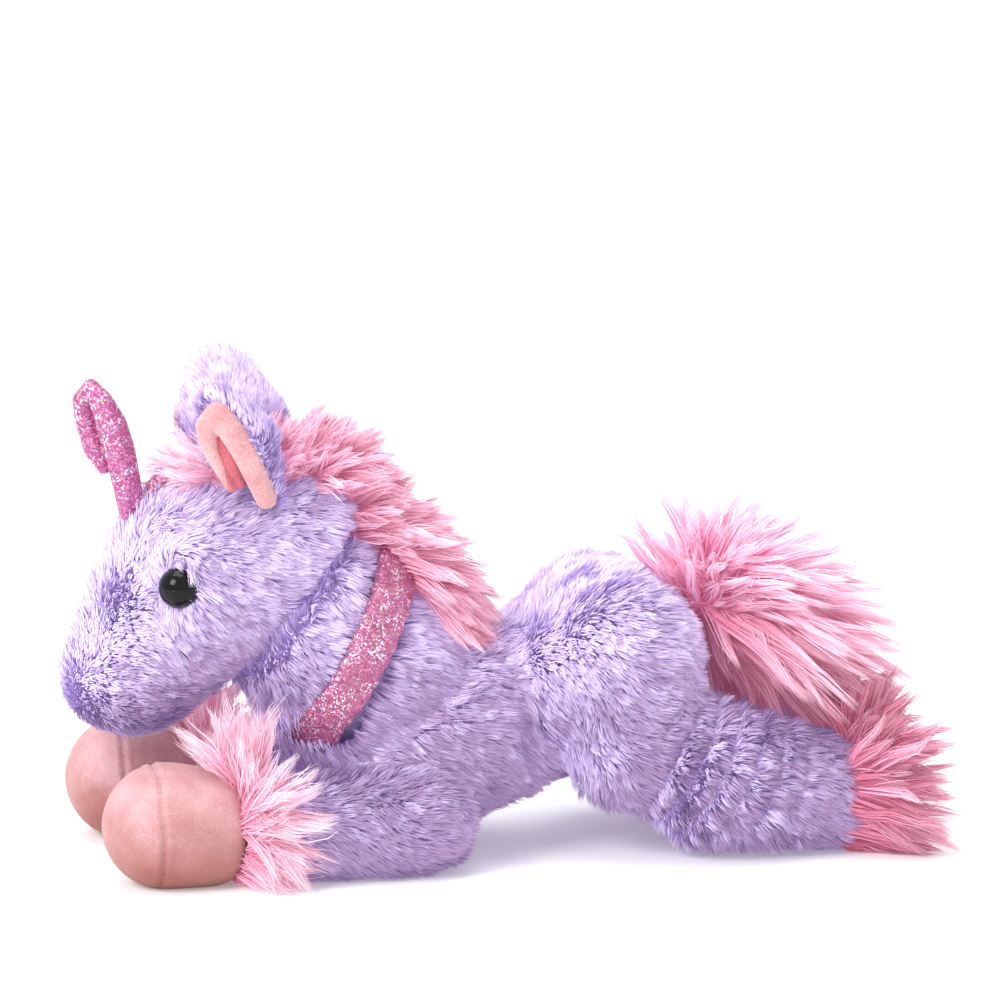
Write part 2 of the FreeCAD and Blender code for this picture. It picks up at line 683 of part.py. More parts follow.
def build_tail():
    """The tail: a sewn core and the long pile round it."""
    root = (TAIL_ROOT, TAIL_ROOT_RADIUS)
    upper = tail_station(TAIL_UPPER_FROM_ROOT, TAIL_UPPER_RADIUS)
    middle = tail_station(TAIL_MIDDLE_FROM_ROOT, TAIL_MIDDLE_RADIUS)
    end = tail_station(TAIL_END_FROM_ROOT, TAIL_END_RADIUS)
    core_end = tail_station(TAIL_MIDDLE_FROM_ROOT, TAIL_CORE_RADIUS)
    rump_rooms = [
        turned(limb(WAIST, WAIST_RADIUS + MOVE_GAP, RUMP, RUMP_RADIUS + MOVE_GAP), TAIL_ROOT, -a)
        for a in (0, TAIL_UP / 3, TAIL_UP * 2 / 3, TAIL_UP)
    ]
    thighs = [
        turned(ball(aside(HIP, THIGH_CENTRE_OUT, side), THIGH_RADIUS + MOVE_GAP), TAIL_ROOT, -a)
        for _, side in SIDES
        for a in (0, TAIL_UP / 2, TAIL_UP)
    ]
    core = less(limb(*root, *core_end), *rump_rooms)
    grown_core = limb(TAIL_ROOT, TAIL_ROOT_RADIUS + TRIM_GAP, core_end[0], TAIL_CORE_RADIUS + TRIM_GAP)
    hair = less(chain([root, upper, middle, end]), grown_core, *rump_rooms, *thighs)
    return {"tail_core": largest(core), "tail_hair": largest(hair)}


# --- All of it ----------------------------------------------------------------------------------------------


def build_all():
    """Every sub-part by name."""
    parts = {}
    parts.update(build_trunk())
    parts.update(build_neck())
    parts.update(build_head())
    parts.update(build_horn())
    parts.update(build_tail())
    for name, side in SIDES:
        parts.update(build_ear(name, side))
        parts.update(build_foreleg(name, side))
        parts.update(build_thigh(name, side))
        parts.update(build_shank(name, side))
    return parts


def export(parts):
    """Writes each sub-part's STEP file and prints what it holds."""
    os.makedirs("parts", exist_ok=True)
    for name, shape in parts.items():
        solids = shape.Solids
        whole = solids[0] if len(solids) == 1 else Part.makeCompound(solids)
        whole.exportStep(f"parts/{name}.step")
        print(f"{name}: {len(solids)} solid(s), {whole.Volume / 1000:.2f} cm3, valid {whole.isValid()}")


if __name__ == "__main__":
    export(build_all())
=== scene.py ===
"""Looks of the plush unicorn: pelts, long pile, velour hooves, glitter cloth and eyes round the CAD frame.

Metres, +Z up, the unicorn faces -X and its left side is at -Y. The classes' own sizes are in millimetres and are
multiplied by MM where they are used. Every random draw comes from a fixed seed.
"""

import logging
import math
from dataclasses import dataclass, field
from enum import Enum
from functools import cache
from itertools import product
from typing import Callable, Optional, Sequence

import bpy
import numpy as np
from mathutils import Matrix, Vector
from mathutils.bvhtree import BVHTree
from mathutils.kdtree import KDTree


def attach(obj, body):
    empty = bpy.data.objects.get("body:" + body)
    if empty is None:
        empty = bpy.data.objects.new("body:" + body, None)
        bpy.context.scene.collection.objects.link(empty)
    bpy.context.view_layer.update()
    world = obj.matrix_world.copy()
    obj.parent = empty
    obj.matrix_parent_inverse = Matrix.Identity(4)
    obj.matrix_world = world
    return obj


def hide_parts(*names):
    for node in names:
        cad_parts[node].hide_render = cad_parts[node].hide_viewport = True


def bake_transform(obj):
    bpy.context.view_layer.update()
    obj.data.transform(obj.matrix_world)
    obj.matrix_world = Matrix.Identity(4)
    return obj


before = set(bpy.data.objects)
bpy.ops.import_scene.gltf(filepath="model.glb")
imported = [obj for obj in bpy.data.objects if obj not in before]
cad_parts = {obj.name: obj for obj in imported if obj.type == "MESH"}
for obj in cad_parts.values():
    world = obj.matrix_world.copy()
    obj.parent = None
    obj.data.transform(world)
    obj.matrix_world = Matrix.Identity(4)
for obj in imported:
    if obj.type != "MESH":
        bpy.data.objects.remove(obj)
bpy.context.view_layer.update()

log = logging.getLogger("unicorn")
MM = 0.001
BAKE_MAP = "OFBake"
SIDE_LIMIT = 62 * MM
SIDE_SQUEEZE = 0.62
FLOOR_GAP = 0.2 * MM
BALL_STEP = 1.2
LONG_KNOTS = 5
PILE_TAPER, LONG_TAPER = 2.2, 3.5
UP = np.array([0.0, 0.0, 1.0])
BACK = np.array([1.0, 0.0, 0.0])
MIRROR = np.array([1, -1, 1])
WHITE = (1.0, 1.0, 1.0)
BLACK = (0.0, 0.0, 0.0)
Colour = tuple[float, float, float]
Ball = tuple[float, float, float, float]
Field = Callable[[np.ndarray], np.ndarray]
Guide = Callable[[np.random.Generator, int], tuple[np.ndarray, np.ndarray, np.ndarray]]


class Side(Enum):
    """The two sides of the body, with the sign of Y on each."""

    LEFT = -1
    RIGHT = 1

    @property
    def tag(self) -> str:
        """The word that ends this side's CAD names."""
        return self.name.lower()


def place(x: float, y: float, z: float) -> np.ndarray:
    """A point given in millimetres, in metres."""
    return np.array([x, y, z]) * MM


def unit(vectors: np.ndarray) -> np.ndarray:
    """Vectors scaled to length one along the last axis."""
    length = np.linalg.norm(vectors, axis=-1, keepdims=True)
    return vectors / np.maximum(length, 1e-12)


def tangent(vectors: np.ndarray, normals: np.ndarray) -> np.ndarray:
    """The unit part of vectors that lies in the planes of normals."""
    return unit(vectors - normals * np.sum(vectors * normals, axis=-1, keepdims=True))


def bell(distance: np.ndarray, width: float) -> np.ndarray:
    """A smooth hump: 1 where distance is 0, about a third where it is width."""
    return np.exp(-((distance / width) ** 2))


def bell_at(points: np.ndarray, centre: np.ndarray, width: float) -> np.ndarray:
    """A smooth hump round a centre, width in millimetres."""
    return bell(np.linalg.norm(points - centre, axis=1), width * MM)


def ease(values: np.ndarray, start: float, run: float) -> np.ndarray:
    """From 0 at start to 1 after a run, and level outside; a run below 0 goes the other way."""
    return np.clip((values - start) / run, 0, 1)


def even(value: float) -> Field:
    """A field that has the same value everywhere."""
    return lambda points: np.full(len(points), value)


class SmoothNoise:
    """Smooth random vectors in space, the same for the same seed."""

    SIZE = 24
    OFFSET = 1000.0

    def __init__(self, seed: int, channels: int = 3) -> None:
        """Fills the lattice."""
        self.table = np.random.default_rng(seed).uniform(-1, 1, (self.SIZE,) * 3 + (channels,))

    def at(self, points: np.ndarray, feature: float) -> np.ndarray:
        """The noise at points.

        Args:
            points: Places, one a row.
            feature: The size of a lump, in metres.

        Returns:
            One row of channels a point, each from -1 to 1.
        """
        scaled = points / feature + self.OFFSET
        base = np.floor(scaled).astype(int)
        part = scaled - base
        part = part * part * (3 - 2 * part)
        total = np.zeros((len(points), self.table.shape[-1]))
        for corner in product((0, 1), repeat=3):
            step = np.array(corner)
            index = (base + step) % self.SIZE
            weight = np.prod(np.where(step == 1, part, 1 - part), axis=1)
            total += weight[:, None] * self.table[index[:, 0], index[:, 1], index[:, 2]]
        return total


# --- Mesh helpers -------------------------------------------------------------------------------------------


def linked(name: str, data: bpy.types.ID) -> bpy.types.Object:
    """A new object with this data, in the scene."""
    obj = bpy.data.objects.new(name, data)
    bpy.context.scene.collection.objects.link(obj)
    return obj


def deselect() -> None:
    """Leaves nothing selected."""
    for other in bpy.context.selected_objects:
        other.select_set(False)


def select_only(obj: bpy.types.Object) -> None:
    """Makes obj the one selected and active object."""
    deselect()
    obj.select_set(True)
    bpy.context.view_layer.objects.active = obj


def apply_modifier(obj: bpy.types.Object, kind: str, **settings: object) -> None:
    """Adds a modifier with these settings and applies it."""
    select_only(obj)
    modifier = obj.modifiers.new(kind.title(), kind)
    for name, value in settings.items():
        setattr(modifier, name, value)
    bpy.ops.object.modifier_apply(modifier=modifier.name)


def vectors_of(items: bpy.types.bpy_prop_collection, attribute: str) -> np.ndarray:
    """One vector attribute of a mesh's items, one a row."""
    flat = np.empty(len(items) * 3, np.float32)
    items.foreach_get(attribute, flat)
    return flat.reshape(-1, 3).astype(float)


def points_of(obj: bpy.types.Object) -> np.ndarray:
    """The vertices' places."""
    return vectors_of(obj.data.vertices, "co")


def normals_of(obj: bpy.types.Object) -> np.ndarray:
    """The vertices' normals."""
    return vectors_of(obj.data.vertex_normals, "vector")


def move_points(obj: bpy.types.Object, points: np.ndarray) -> None:
    """Gives the vertices new places."""
    obj.data.vertices.foreach_set("co", points.astype(np.float32).ravel())
    obj.data.update()


def copy_of_node(node: str, name: str) -> bpy.types.Object:
    """A copy of a CAD node's mesh as a new object, its loose triangles merged.

    Args:
        node: The CAD node.
        name: The new object's name.

    Returns:
        The new object, at the origin.
    """
    obj = linked(name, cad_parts[node].data.copy())
    obj.data.name = name
    obj.data.materials.clear()
    select_only(obj)
    bpy.ops.object.mode_set(mode="EDIT")
    bpy.ops.mesh.select_all(action="SELECT")
    bpy.ops.mesh.remove_doubles(threshold=0.02 * MM)
    bpy.ops.object.mode_set(mode="OBJECT")
    return obj


def remesh(obj: bpy.types.Object, voxel: float, smooth: int) -> None:
    """Remakes a form's faces at one size, in millimetres, and smooths it so many times."""
    apply_modifier(obj, "REMESH", mode="VOXEL", voxel_size=voxel * MM, use_smooth_shade=True)
    if smooth:
        apply_modifier(obj, "SMOOTH", factor=0.5, iterations=smooth)


def padded_form(node: str, name: str, voxel: float, swell: float, smooth: int) -> bpy.types.Object:
    """A rounded cloth form from a CAD node's solid.

    Args:
        node: The CAD node whose shape is taken.
        name: The new object's name.
        voxel: The remesh size, in millimetres.
        swell: How far the cloth stands off the solid, in millimetres.
        smooth: How many times the form is smoothed.

    Returns:
        The new object.
    """
    obj = copy_of_node(node, name)
    remesh(obj, voxel, smooth)
    if swell:
        move_points(obj, points_of(obj) + normals_of(obj) * swell * MM)
    return obj


def lump(obj: bpy.types.Object, noise: SmoothNoise, feature: float, depth: float) -> None:
    """Makes a form uneven, as stuffing does: lumps of size feature and height depth, in millimetres."""
    points = points_of(obj)
    move_points(obj, points + normals_of(obj) * noise.at(points, feature * MM)[:, :1] * depth * MM)


def puff(obj: bpy.types.Object, cap: float, pressure: float = 4.0, frames: int = 20) -> None:
    """Lets a closed cloth form fill itself by simulation.

    Args:
        obj: The closed mesh.
        cap: The furthest that a point may move, in millimetres.
        pressure: The stuffing's pressure.
        frames: How many steps the simulation takes.
    """
    before = points_of(obj)
    select_only(obj)
    cloth = obj.modifiers.new("Cloth", "CLOTH")
    settings = cloth.settings
    settings.use_pressure, settings.uniform_pressure_force = True, pressure
    settings.effector_weights.gravity = 0
    settings.quality, settings.tension_stiffness, settings.shrink_min = 5, 30, -0.06
    cloth.point_cache.frame_start, cloth.point_cache.frame_end = 1, frames
    for step in range(1, frames + 1):
        bpy.context.scene.frame_set(step)
    bpy.ops.object.modifier_apply(modifier=cloth.name)
    bpy.context.scene.frame_set(1)
    move = points_of(obj) - before
    reach = np.linalg.norm(move, axis=1, keepdims=True)
    move_points(obj, before + move * np.minimum(1, cap * MM / np.maximum(reach, 1e-9)))


def scatter(
    obj: bpy.types.Object, count: int, rng: np.random.Generator, keep: Optional[Field] = None
) -> tuple[np.ndarray, np.ndarray, np.ndarray]:
    """Random places on a mesh.

    Args:
        obj: The mesh.
        count: How many places.
        rng: The source of the draws.
        keep: Gives each face's share from 0 to 1 from its centre and normal, side by side.

    Returns:
        The places, the normals there, and a vertex of the face that each is on.
    """
    mesh = obj.data
    mesh.calc_loop_triangles()
    corners = np.empty(len(mesh.loop_triangles) * 3, np.int32)
    mesh.loop_triangles.foreach_get("vertices", corners)
    corners = corners.reshape(-1, 3)
    points, normals = points_of(obj), normals_of(obj)
    a, b, c = (points[corners[:, i]] for i in range(3))
    cross = np.cross(b - a, c - a)
    share = np.linalg.norm(cross, axis=1)
    if keep is not None:
        share = share * keep(np.hstack([(a + b + c) / 3, unit(cross)]))
    pick = rng.choice(len(corners), count, p=share / share.sum())
    u, v = rng.random((2, count, 1))
    folded = u + v > 1
    u, v = np.where(folded, 1 - u, u), np.where(folded, 1 - v, v)
    face = corners[pick]
    spots = a[pick] * (1 - u - v) + b[pick] * u + c[pick] * v
    facing = normals[face[:, 0]] * (1 - u - v) + normals[face[:, 1]] * u + normals[face[:, 2]] * v
    return spots, unit(facing), face[:, 0]


def point_tree(points: np.ndarray) -> KDTree:
    """A search tree over points."""
    tree = KDTree(len(points))
    for i, point in enumerate(points):
        tree.insert(point, i)
    tree.balance()
    return tree


def value_nearby(points: np.ndarray, values: np.ndarray) -> Field:
    """A function that gives each face the value of the point nearest to its centre."""
    tree = point_tree(points)

    def look_up(faces: np.ndarray) -> np.ndarray:
        return np.array([values[tree.find(face[:3])[1]] for face in faces])

    return look_up


def tree_of(nodes: Sequence[str]) -> BVHTree:
    """One search tree over the faces of CAD nodes."""
    vertices: list[Vector] = []
    faces: list[tuple[int, ...]] = []
    for name in nodes:
        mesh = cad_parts[name].data
        start = len(vertices)
        vertices.extend(v.co.copy() for v in mesh.vertices)
        faces.extend(tuple(start + i for i in p.vertices) for p in mesh.polygons)
    return BVHTree.FromPolygons(vertices, faces)


def openness(obj: bpy.types.Object, nodes: Sequence[str], stand_off: float = 3.0, near: float = 1.8) -> np.ndarray:
    """Says of each vertex whether it is open to the air.

    Args:
        obj: The skin.
        nodes: The CAD nodes that may lie against it.
        stand_off: How far off the skin to look, in millimetres.
        near: A neighbour nearer than this closes a place, in millimetres.

    Returns:
        1 for each open vertex and 0 for each closed one.
    """
    tree = tree_of(nodes)
    probes = points_of(obj) + normals_of(obj) * stand_off * MM
    return np.array([tree.find_nearest(Vector(probe), near * MM)[0] is None for probe in probes], float)


def rounded_chain(name: str, runs: Sequence[Sequence[Ball]], voxel: float, smooth: int) -> bpy.types.Object:
    """A closed form that follows runs of balls.

    Args:
        name: The object's name.
        runs: For each run, its balls as (x, y, z, radius) in millimetres.
        voxel: The remesh size, in millimetres.
        smooth: How many times the form is smoothed.

    Returns:
        The new object.
    """
    deselect()
    balls = []
    for run in runs:
        for first, last in zip(run, run[1:]):
            steps = max(2, int(np.linalg.norm(np.subtract(last[:3], first[:3])) / BALL_STEP))
            for step in range(steps + 1):
                x, y, z, radius = (np.array(first) + (np.array(last) - first) * step / steps) * MM
                bpy.ops.mesh.primitive_ico_sphere_add(subdivisions=3, radius=radius, location=(x, y, z))
                balls.append(bpy.context.active_object)
    for ball in balls:
        ball.select_set(True)
    bpy.ops.object.join()
    obj = bpy.context.active_object
    obj.name = obj.data.name = name
    bpy.ops.object.transform_apply(location=True, rotation=True, scale=True)
    remesh(obj, voxel, smooth)
    return obj


# --- Finishes -----------------------------------------------------------------------------------------------


class NodeTree:
    """A short way to write a material's nodes."""

    def __init__(self, name: str) -> None:
        """Starts a material with one Principled shader."""
        self.material = bpy.data.materials.new(name)
        self.material.use_nodes = True
        self.nodes = self.material.node_tree.nodes
        self.links = self.material.node_tree.links
        self.shader = self.nodes["Principled BSDF"]

    def add(self, kind: str, **settings: object) -> bpy.types.Node:
        """Adds a node and sets its attributes."""
        node = self.nodes.new(kind)
        for name, value in settings.items():
            setattr(node, name, value)
        return node

    def join(self, source: bpy.types.NodeSocket, target: bpy.types.NodeSocket) -> None:
        """Links two sockets."""
        self.links.new(source, target)

    def ramp(self, source: bpy.types.NodeSocket, stops: Sequence[tuple[float, Colour]]) -> bpy.types.NodeSocket:
        """A colour ramp from source through stops of (place, colour)."""
        node = self.add("ShaderNodeValToRGB")
        while len(node.color_ramp.elements) < len(stops):
            node.color_ramp.elements.new(0.5)
        for element, (at, colour) in zip(node.color_ramp.elements, stops):
            element.position = at
            element.color = (*colour, 1)
        self.join(source, node.inputs["Fac"])
        return node.outputs["Color"]

    def blend(self, mode: str, amount: object, a: object, b: object) -> bpy.types.NodeSocket:
        """Mixes two colours; amount, a and b are sockets or values."""
        node = self.add("ShaderNodeMix", data_type="RGBA", blend_type=mode)
        for socket, value in ((node.inputs[0], amount), (node.inputs[6], a), (node.inputs[7], b)):
            if isinstance(value, bpy.types.NodeSocket):
                self.join(value, socket)
            else:
                socket.default_value = value if socket == node.inputs[0] else (*value, 1)
        return node.outputs[2]

    def where(self) -> bpy.types.NodeSocket:
        """Object coordinates."""
        return self.add("ShaderNodeTexCoord").outputs["Object"]

    def noise(self, scale: float, detail: float = 3.0) -> bpy.types.NodeSocket:
        """The value of noise on Object coordinates, scale in lumps a metre."""
        node = self.add("ShaderNodeTexNoise")
        node.inputs["Scale"].default_value = scale
        node.inputs["Detail"].default_value = detail
        self.join(self.where(), node.inputs["Vector"])
        return node.outputs["Fac"]

    def cells(self, scale: float) -> bpy.types.Node:
        """Cells on Object coordinates, scale in cells a metre."""
        node = self.add("ShaderNodeTexVoronoi", feature="F1")
        node.inputs["Scale"].default_value = scale
        self.join(self.where(), node.inputs["Vector"])
        return node

    def vector(self, operation: str, *values: object, scale: Optional[float] = None) -> bpy.types.NodeSocket:
        """Vector arithmetic; values are sockets or constant vectors, scale is for the operation of that name."""
        node = self.add("ShaderNodeVectorMath", operation=operation)
        if scale is not None:
            node.inputs["Scale"].default_value = scale
        for socket, value in zip(node.inputs, values):
            if isinstance(value, bpy.types.NodeSocket):
                self.join(value, socket)
            else:
                socket.default_value = value
        return node.outputs["Vector"]

    def bump(self, height: bpy.types.NodeSocket, strength: float, distance: float) -> bpy.types.NodeSocket:
        """A bump node's normal, distance in millimetres."""
        node = self.add("ShaderNodeBump")
        node.inputs["Strength"].default_value = strength
        node.inputs["Distance"].default_value = distance * MM
        self.join(height, node.inputs["Height"])
        return node.outputs["Normal"]

    def set(self, **values: object) -> None:
        """Sets constant values on the shader's own sockets."""
        for name, value in values.items():
            self.shader.inputs[name.replace("_", " ")].default_value = value


@dataclass(frozen=True)
class StrandFinish:
    """Pile whose colour runs from root to tip, its darker roots partly painted shade deep in the pile, and whose
    tone, which differs from strand to strand, also carries painted light and painted shade.
    """

    name: str
    slot: str
    root: Colour
    middle: Colour
    tip: Colour
    dark: Colour
    light: Colour
    # glow and glow_strength: a painted glow, emitted, that stands in for light scattered inside the pile and lifts
    # the shade between strands.
    glow: Colour
    roughness: float = 0.7
    sheen: float = 0.15
    glow_strength: float = 0.07

    def material(self) -> bpy.types.Material:
        """The material: across the map is the strand's tone, along it root to tip."""
        tree = NodeTree(self.name)
        where = tree.add("ShaderNodeUVMap", uv_map=BAKE_MAP)
        split = tree.add("ShaderNodeSeparateXYZ")
        tree.join(where.outputs["UV"], split.inputs["Vector"])
        # Root to tip: the paler tips are partly the pile's own colour, the darker roots partly painted shade deep in
        # the pile.
        along = tree.ramp(split.outputs["Y"], [(0.0, self.root), (0.45, self.middle), (1.0, self.tip)])
        # The tone's dark end gives darker tufts and painted shade, its light end paler tufts and painted light.
        tone = tree.ramp(split.outputs["X"], [(0.0, self.dark), (0.55, WHITE), (1.0, self.light)])
        tree.join(tree.blend("MULTIPLY", 1.0, along, tone), tree.shader.inputs["Base Color"])
        # The emission is a painted glow in the shade between the strands.
        tree.set(
            Roughness=self.roughness, Sheen_Weight=self.sheen, Sheen_Roughness=0.5, Specular_IOR_Level=0.2,
            Emission_Color=(*self.glow, 1), Emission_Strength=self.glow_strength,
        )
        return tree.material


@dataclass(frozen=True)
class BackingFinish:
    """The knitted cloth that the pile grows from."""

    name: str
    slot: str
    colour: Colour
    knit_scale: float = 1400.0
    hole_shade: float = 0.6

    def material(self) -> bpy.types.Material:
        """A rough knit, with painted shade in its holes."""
        tree = NodeTree(self.name)
        depth = tree.cells(self.knit_scale).outputs["Distance"]
        dark = tuple(c * self.hole_shade for c in self.colour)
        tree.join(tree.ramp(depth, [(0.1, self.colour), (0.7, dark)]), tree.shader.inputs["Base Color"])
        tree.join(tree.bump(depth, 0.5, 0.4), tree.shader.inputs["Normal"])
        tree.set(Roughness=0.95, Specular_IOR_Level=0.15)
        return tree.material


@dataclass(frozen=True)
class VelourFinish:
    """Short-nap cloth: soft patches where the nap is brushed one way or the other, and painted shade low down."""

    name: str
    slot: str
    colour: Colour
    brushed: Colour
    deep: Colour
    # low: the colour of the painted shade at the floor; rise: the height, in metres, that the painted shade fades
    # over.
    low: Colour = WHITE
    rise: float = 1.0
    nap_scale: float = 2600.0
    sheen: float = 0.5

    def material(self) -> bpy.types.Material:
        """Brushed patches, fine nap grain, painted shade towards the floor and a soft sheen."""
        tree = NodeTree(self.name)
        grain = tree.noise(self.nap_scale, 2)
        colour = tree.ramp(tree.noise(70, 4), [(0.32, self.deep), (0.5, self.colour), (0.68, self.brushed)])
        speck = tree.ramp(grain, [(0.3, (0.74, 0.74, 0.74)), (0.7, (1.12, 1.12, 1.12))])
        # Painted shade: darker and warmer towards the floor, gone by 0.85 of rise.
        height = tree.add("ShaderNodeMath", operation="DIVIDE")
        split = tree.add("ShaderNodeSeparateXYZ")
        tree.join(tree.where(), split.inputs["Vector"])
        tree.join(split.outputs["Z"], height.inputs[0])
        height.inputs[1].default_value = self.rise
        shade = tree.ramp(height.outputs["Value"], [(0.0, self.low), (0.85, WHITE)])
        colour = tree.blend("MULTIPLY", 1.0, colour, shade)
        tree.join(tree.blend("MULTIPLY", 1.0, colour, speck), tree.shader.inputs["Base Color"])
        tree.join(tree.bump(grain, 0.8, 0.45), tree.shader.inputs["Normal"])
        tree.set(Roughness=0.9, Sheen_Weight=self.sheen, Sheen_Roughness=0.45, Specular_IOR_Level=0.2)
        return tree.material


@dataclass(frozen=True)
class GlitterFinish:
    """Knit with glitter: small flakes that lie at different angles, and painted glints on some of them, pale, orange
    or blue.
    """

    name: str
    slot: str
    ground: Colour
    shade: Colour
    flake: Colour
    flake_scale: float = 1500.0
    flake_tilt: float = 0.9

    def material(self) -> bpy.types.Material:
        """Ground cloth, dense tinted flakes and scattered flakes painted bright as glints."""
        tree = NodeTree(self.name)
        flakes = tree.cells(self.flake_scale).outputs["Color"]
        split = tree.add("ShaderNodeSeparateColor")
        tree.join(flakes, split.inputs["Color"])
        ground = tree.ramp(tree.noise(110, 4), [(0.35, self.shade), (0.62, self.ground)])
        tint = tree.ramp(split.outputs["Green"], [(0.0, self.shade), (0.6, self.ground), (1.0, self.flake)])
        base = tree.blend("MIX", 0.6, ground, tint)
        # Painted glints: a share of the flakes is painted bright, gathered in patches, pale, orange or blue.
        painted_glint = tree.ramp(split.outputs["Red"], [(0.0, BLACK), (0.74, BLACK), (0.8, WHITE), (1.0, WHITE)])
        gathered = tree.ramp(tree.noise(150, 3), [(0.42, (0.12, 0.12, 0.12)), (0.58, WHITE)])
        painted_glint = tree.blend("MULTIPLY", 1.0, painted_glint, gathered)
        hue = tree.ramp(
            split.outputs["Blue"],
            [(0.0, (1.0, 0.97, 1.0)), (0.55, (1.0, 0.86, 0.95)), (0.72, (1.0, 0.62, 0.4)), (0.9, (0.55, 0.7, 1.0))],
        )
        tree.join(tree.blend("MIX", painted_glint, base, hue), tree.shader.inputs["Base Color"])
        lean = tree.vector("SCALE", tree.vector("SUBTRACT", flakes, (0.5, 0.5, 0.5)), scale=self.flake_tilt)
        tilted = tree.vector("ADD", tree.add("ShaderNodeNewGeometry").outputs["Normal"], lean)
        tree.join(tree.vector("NORMALIZE", tilted), tree.shader.inputs["Normal"])
        tree.set(Roughness=0.32, Metallic=0.35, Specular_IOR_Level=0.6)
        return tree.material


@dataclass(frozen=True)
class GlossFinish:
    """Polished plastic with a faint swirl left by moulding."""

    name: str
    slot: str
    colour: Colour
    roughness: float = 0.07

    def material(self) -> bpy.types.Material:
        """A dark gloss."""
        tree = NodeTree(self.name)
        swirl = tree.noise(160, 3)
        lighter = tuple(min(1.0, c * 1.8 + 0.004) for c in self.colour)
        tree.join(tree.ramp(swirl, [(0.3, self.colour), (0.8, lighter)]), tree.shader.inputs["Base Color"])
        tree.join(tree.bump(swirl, 0.04, 0.1), tree.shader.inputs["Normal"])
        tree.set(Roughness=self.roughness, Specular_IOR_Level=0.22)
        return tree.material


# dark and light are the tone ramp's ends: darker and paler tufts, and the painted shade and painted light that the
# tone carries; LAVENDER's mauve dark is the painted shade under the body.
LAVENDER = StrandFinish(
    "lavender_pile", "lavender_plush", root=(0.56, 0.43, 0.82), middle=(0.70, 0.57, 0.89), tip=(0.86, 0.78, 0.95),
    dark=(0.50, 0.38, 0.48), light=(1.12, 1.15, 1.06), glow=(0.62, 0.44, 0.90), glow_strength=0.13,
)
PINK = StrandFinish(
    "pink_pile", "pink_long_pile", root=(0.84, 0.30, 0.47), middle=(0.91, 0.45, 0.61), tip=(0.97, 0.74, 0.83),
    dark=(0.68, 0.42, 0.48), light=(1.08, 1.24, 1.20), glow=(0.95, 0.34, 0.56),
)
PALE_PINK = StrandFinish(
    "pale_pink_pile", "pink_long_pile", root=(0.88, 0.36, 0.52), middle=(0.97, 0.62, 0.75), tip=(1.0, 0.86, 0.91),
    dark=(0.80, 0.54, 0.60), light=(1.06, 1.14, 1.12), glow=(0.95, 0.45, 0.62),
)
LAVENDER_BACKING = BackingFinish("lavender_backing", "lavender_plush", (0.62, 0.50, 0.85))
PINK_BACKING = BackingFinish("pink_backing", "pink_backing", (0.62, 0.16, 0.32))
# The hoof's low colour is painted shade, darker and warmer near the floor.
HOOF_VELOUR = VelourFinish(
    "hoof_velour", "peach_velour", colour=(0.65, 0.35, 0.36), brushed=(0.72, 0.43, 0.45), deep=(0.57, 0.27, 0.27),
    low=(0.60, 0.36, 0.26), rise=0.034, sheen=0.25,
)
EAR_VELOUR = VelourFinish(
    "ear_velour", "ear_velour", colour=(0.78, 0.42, 0.42), brushed=(0.86, 0.56, 0.56), deep=(0.70, 0.31, 0.32),
    nap_scale=1500.0,
)
# A darker copy of the ear velour: painted shade in the crease of the ear's fold.
EAR_CREASE_SHADE_VELOUR = VelourFinish(
    "ear_crease_shade_velour", "ear_velour", colour=(0.74, 0.20, 0.24), brushed=(0.80, 0.28, 0.30), deep=(0.62, 0.13, 0.18),
    nap_scale=1500.0,
)
COLLAR_GLITTER = GlitterFinish(
    "collar_glitter", "collar_glitter_cloth", ground=(0.52, 0.12, 0.27), shade=(0.30, 0.06, 0.16),
    flake=(0.76, 0.36, 0.52), flake_scale=2000.0,
)
HORN_GLITTER = GlitterFinish(
    "horn_glitter", "horn_glitter_cloth", ground=(0.52, 0.10, 0.29), shade=(0.30, 0.04, 0.17),
    flake=(0.80, 0.40, 0.60),
)
EYE_GLOSS = GlossFinish("eye_gloss", "eye_plastic", (0.003, 0.003, 0.004))
Finish = StrandFinish | BackingFinish | VelourFinish | GlitterFinish | GlossFinish


@cache
def material_of(finish: Finish) -> bpy.types.Material:
    """The finish's material, made once."""
    return finish.material()


def dress(obj: bpy.types.Object, finish: Finish) -> None:
    """Gives a piece its finish's material."""
    obj.data.materials.clear()
    obj.data.materials.append(material_of(finish))


# --- Strands ------------------------------------------------------------------------------------------------


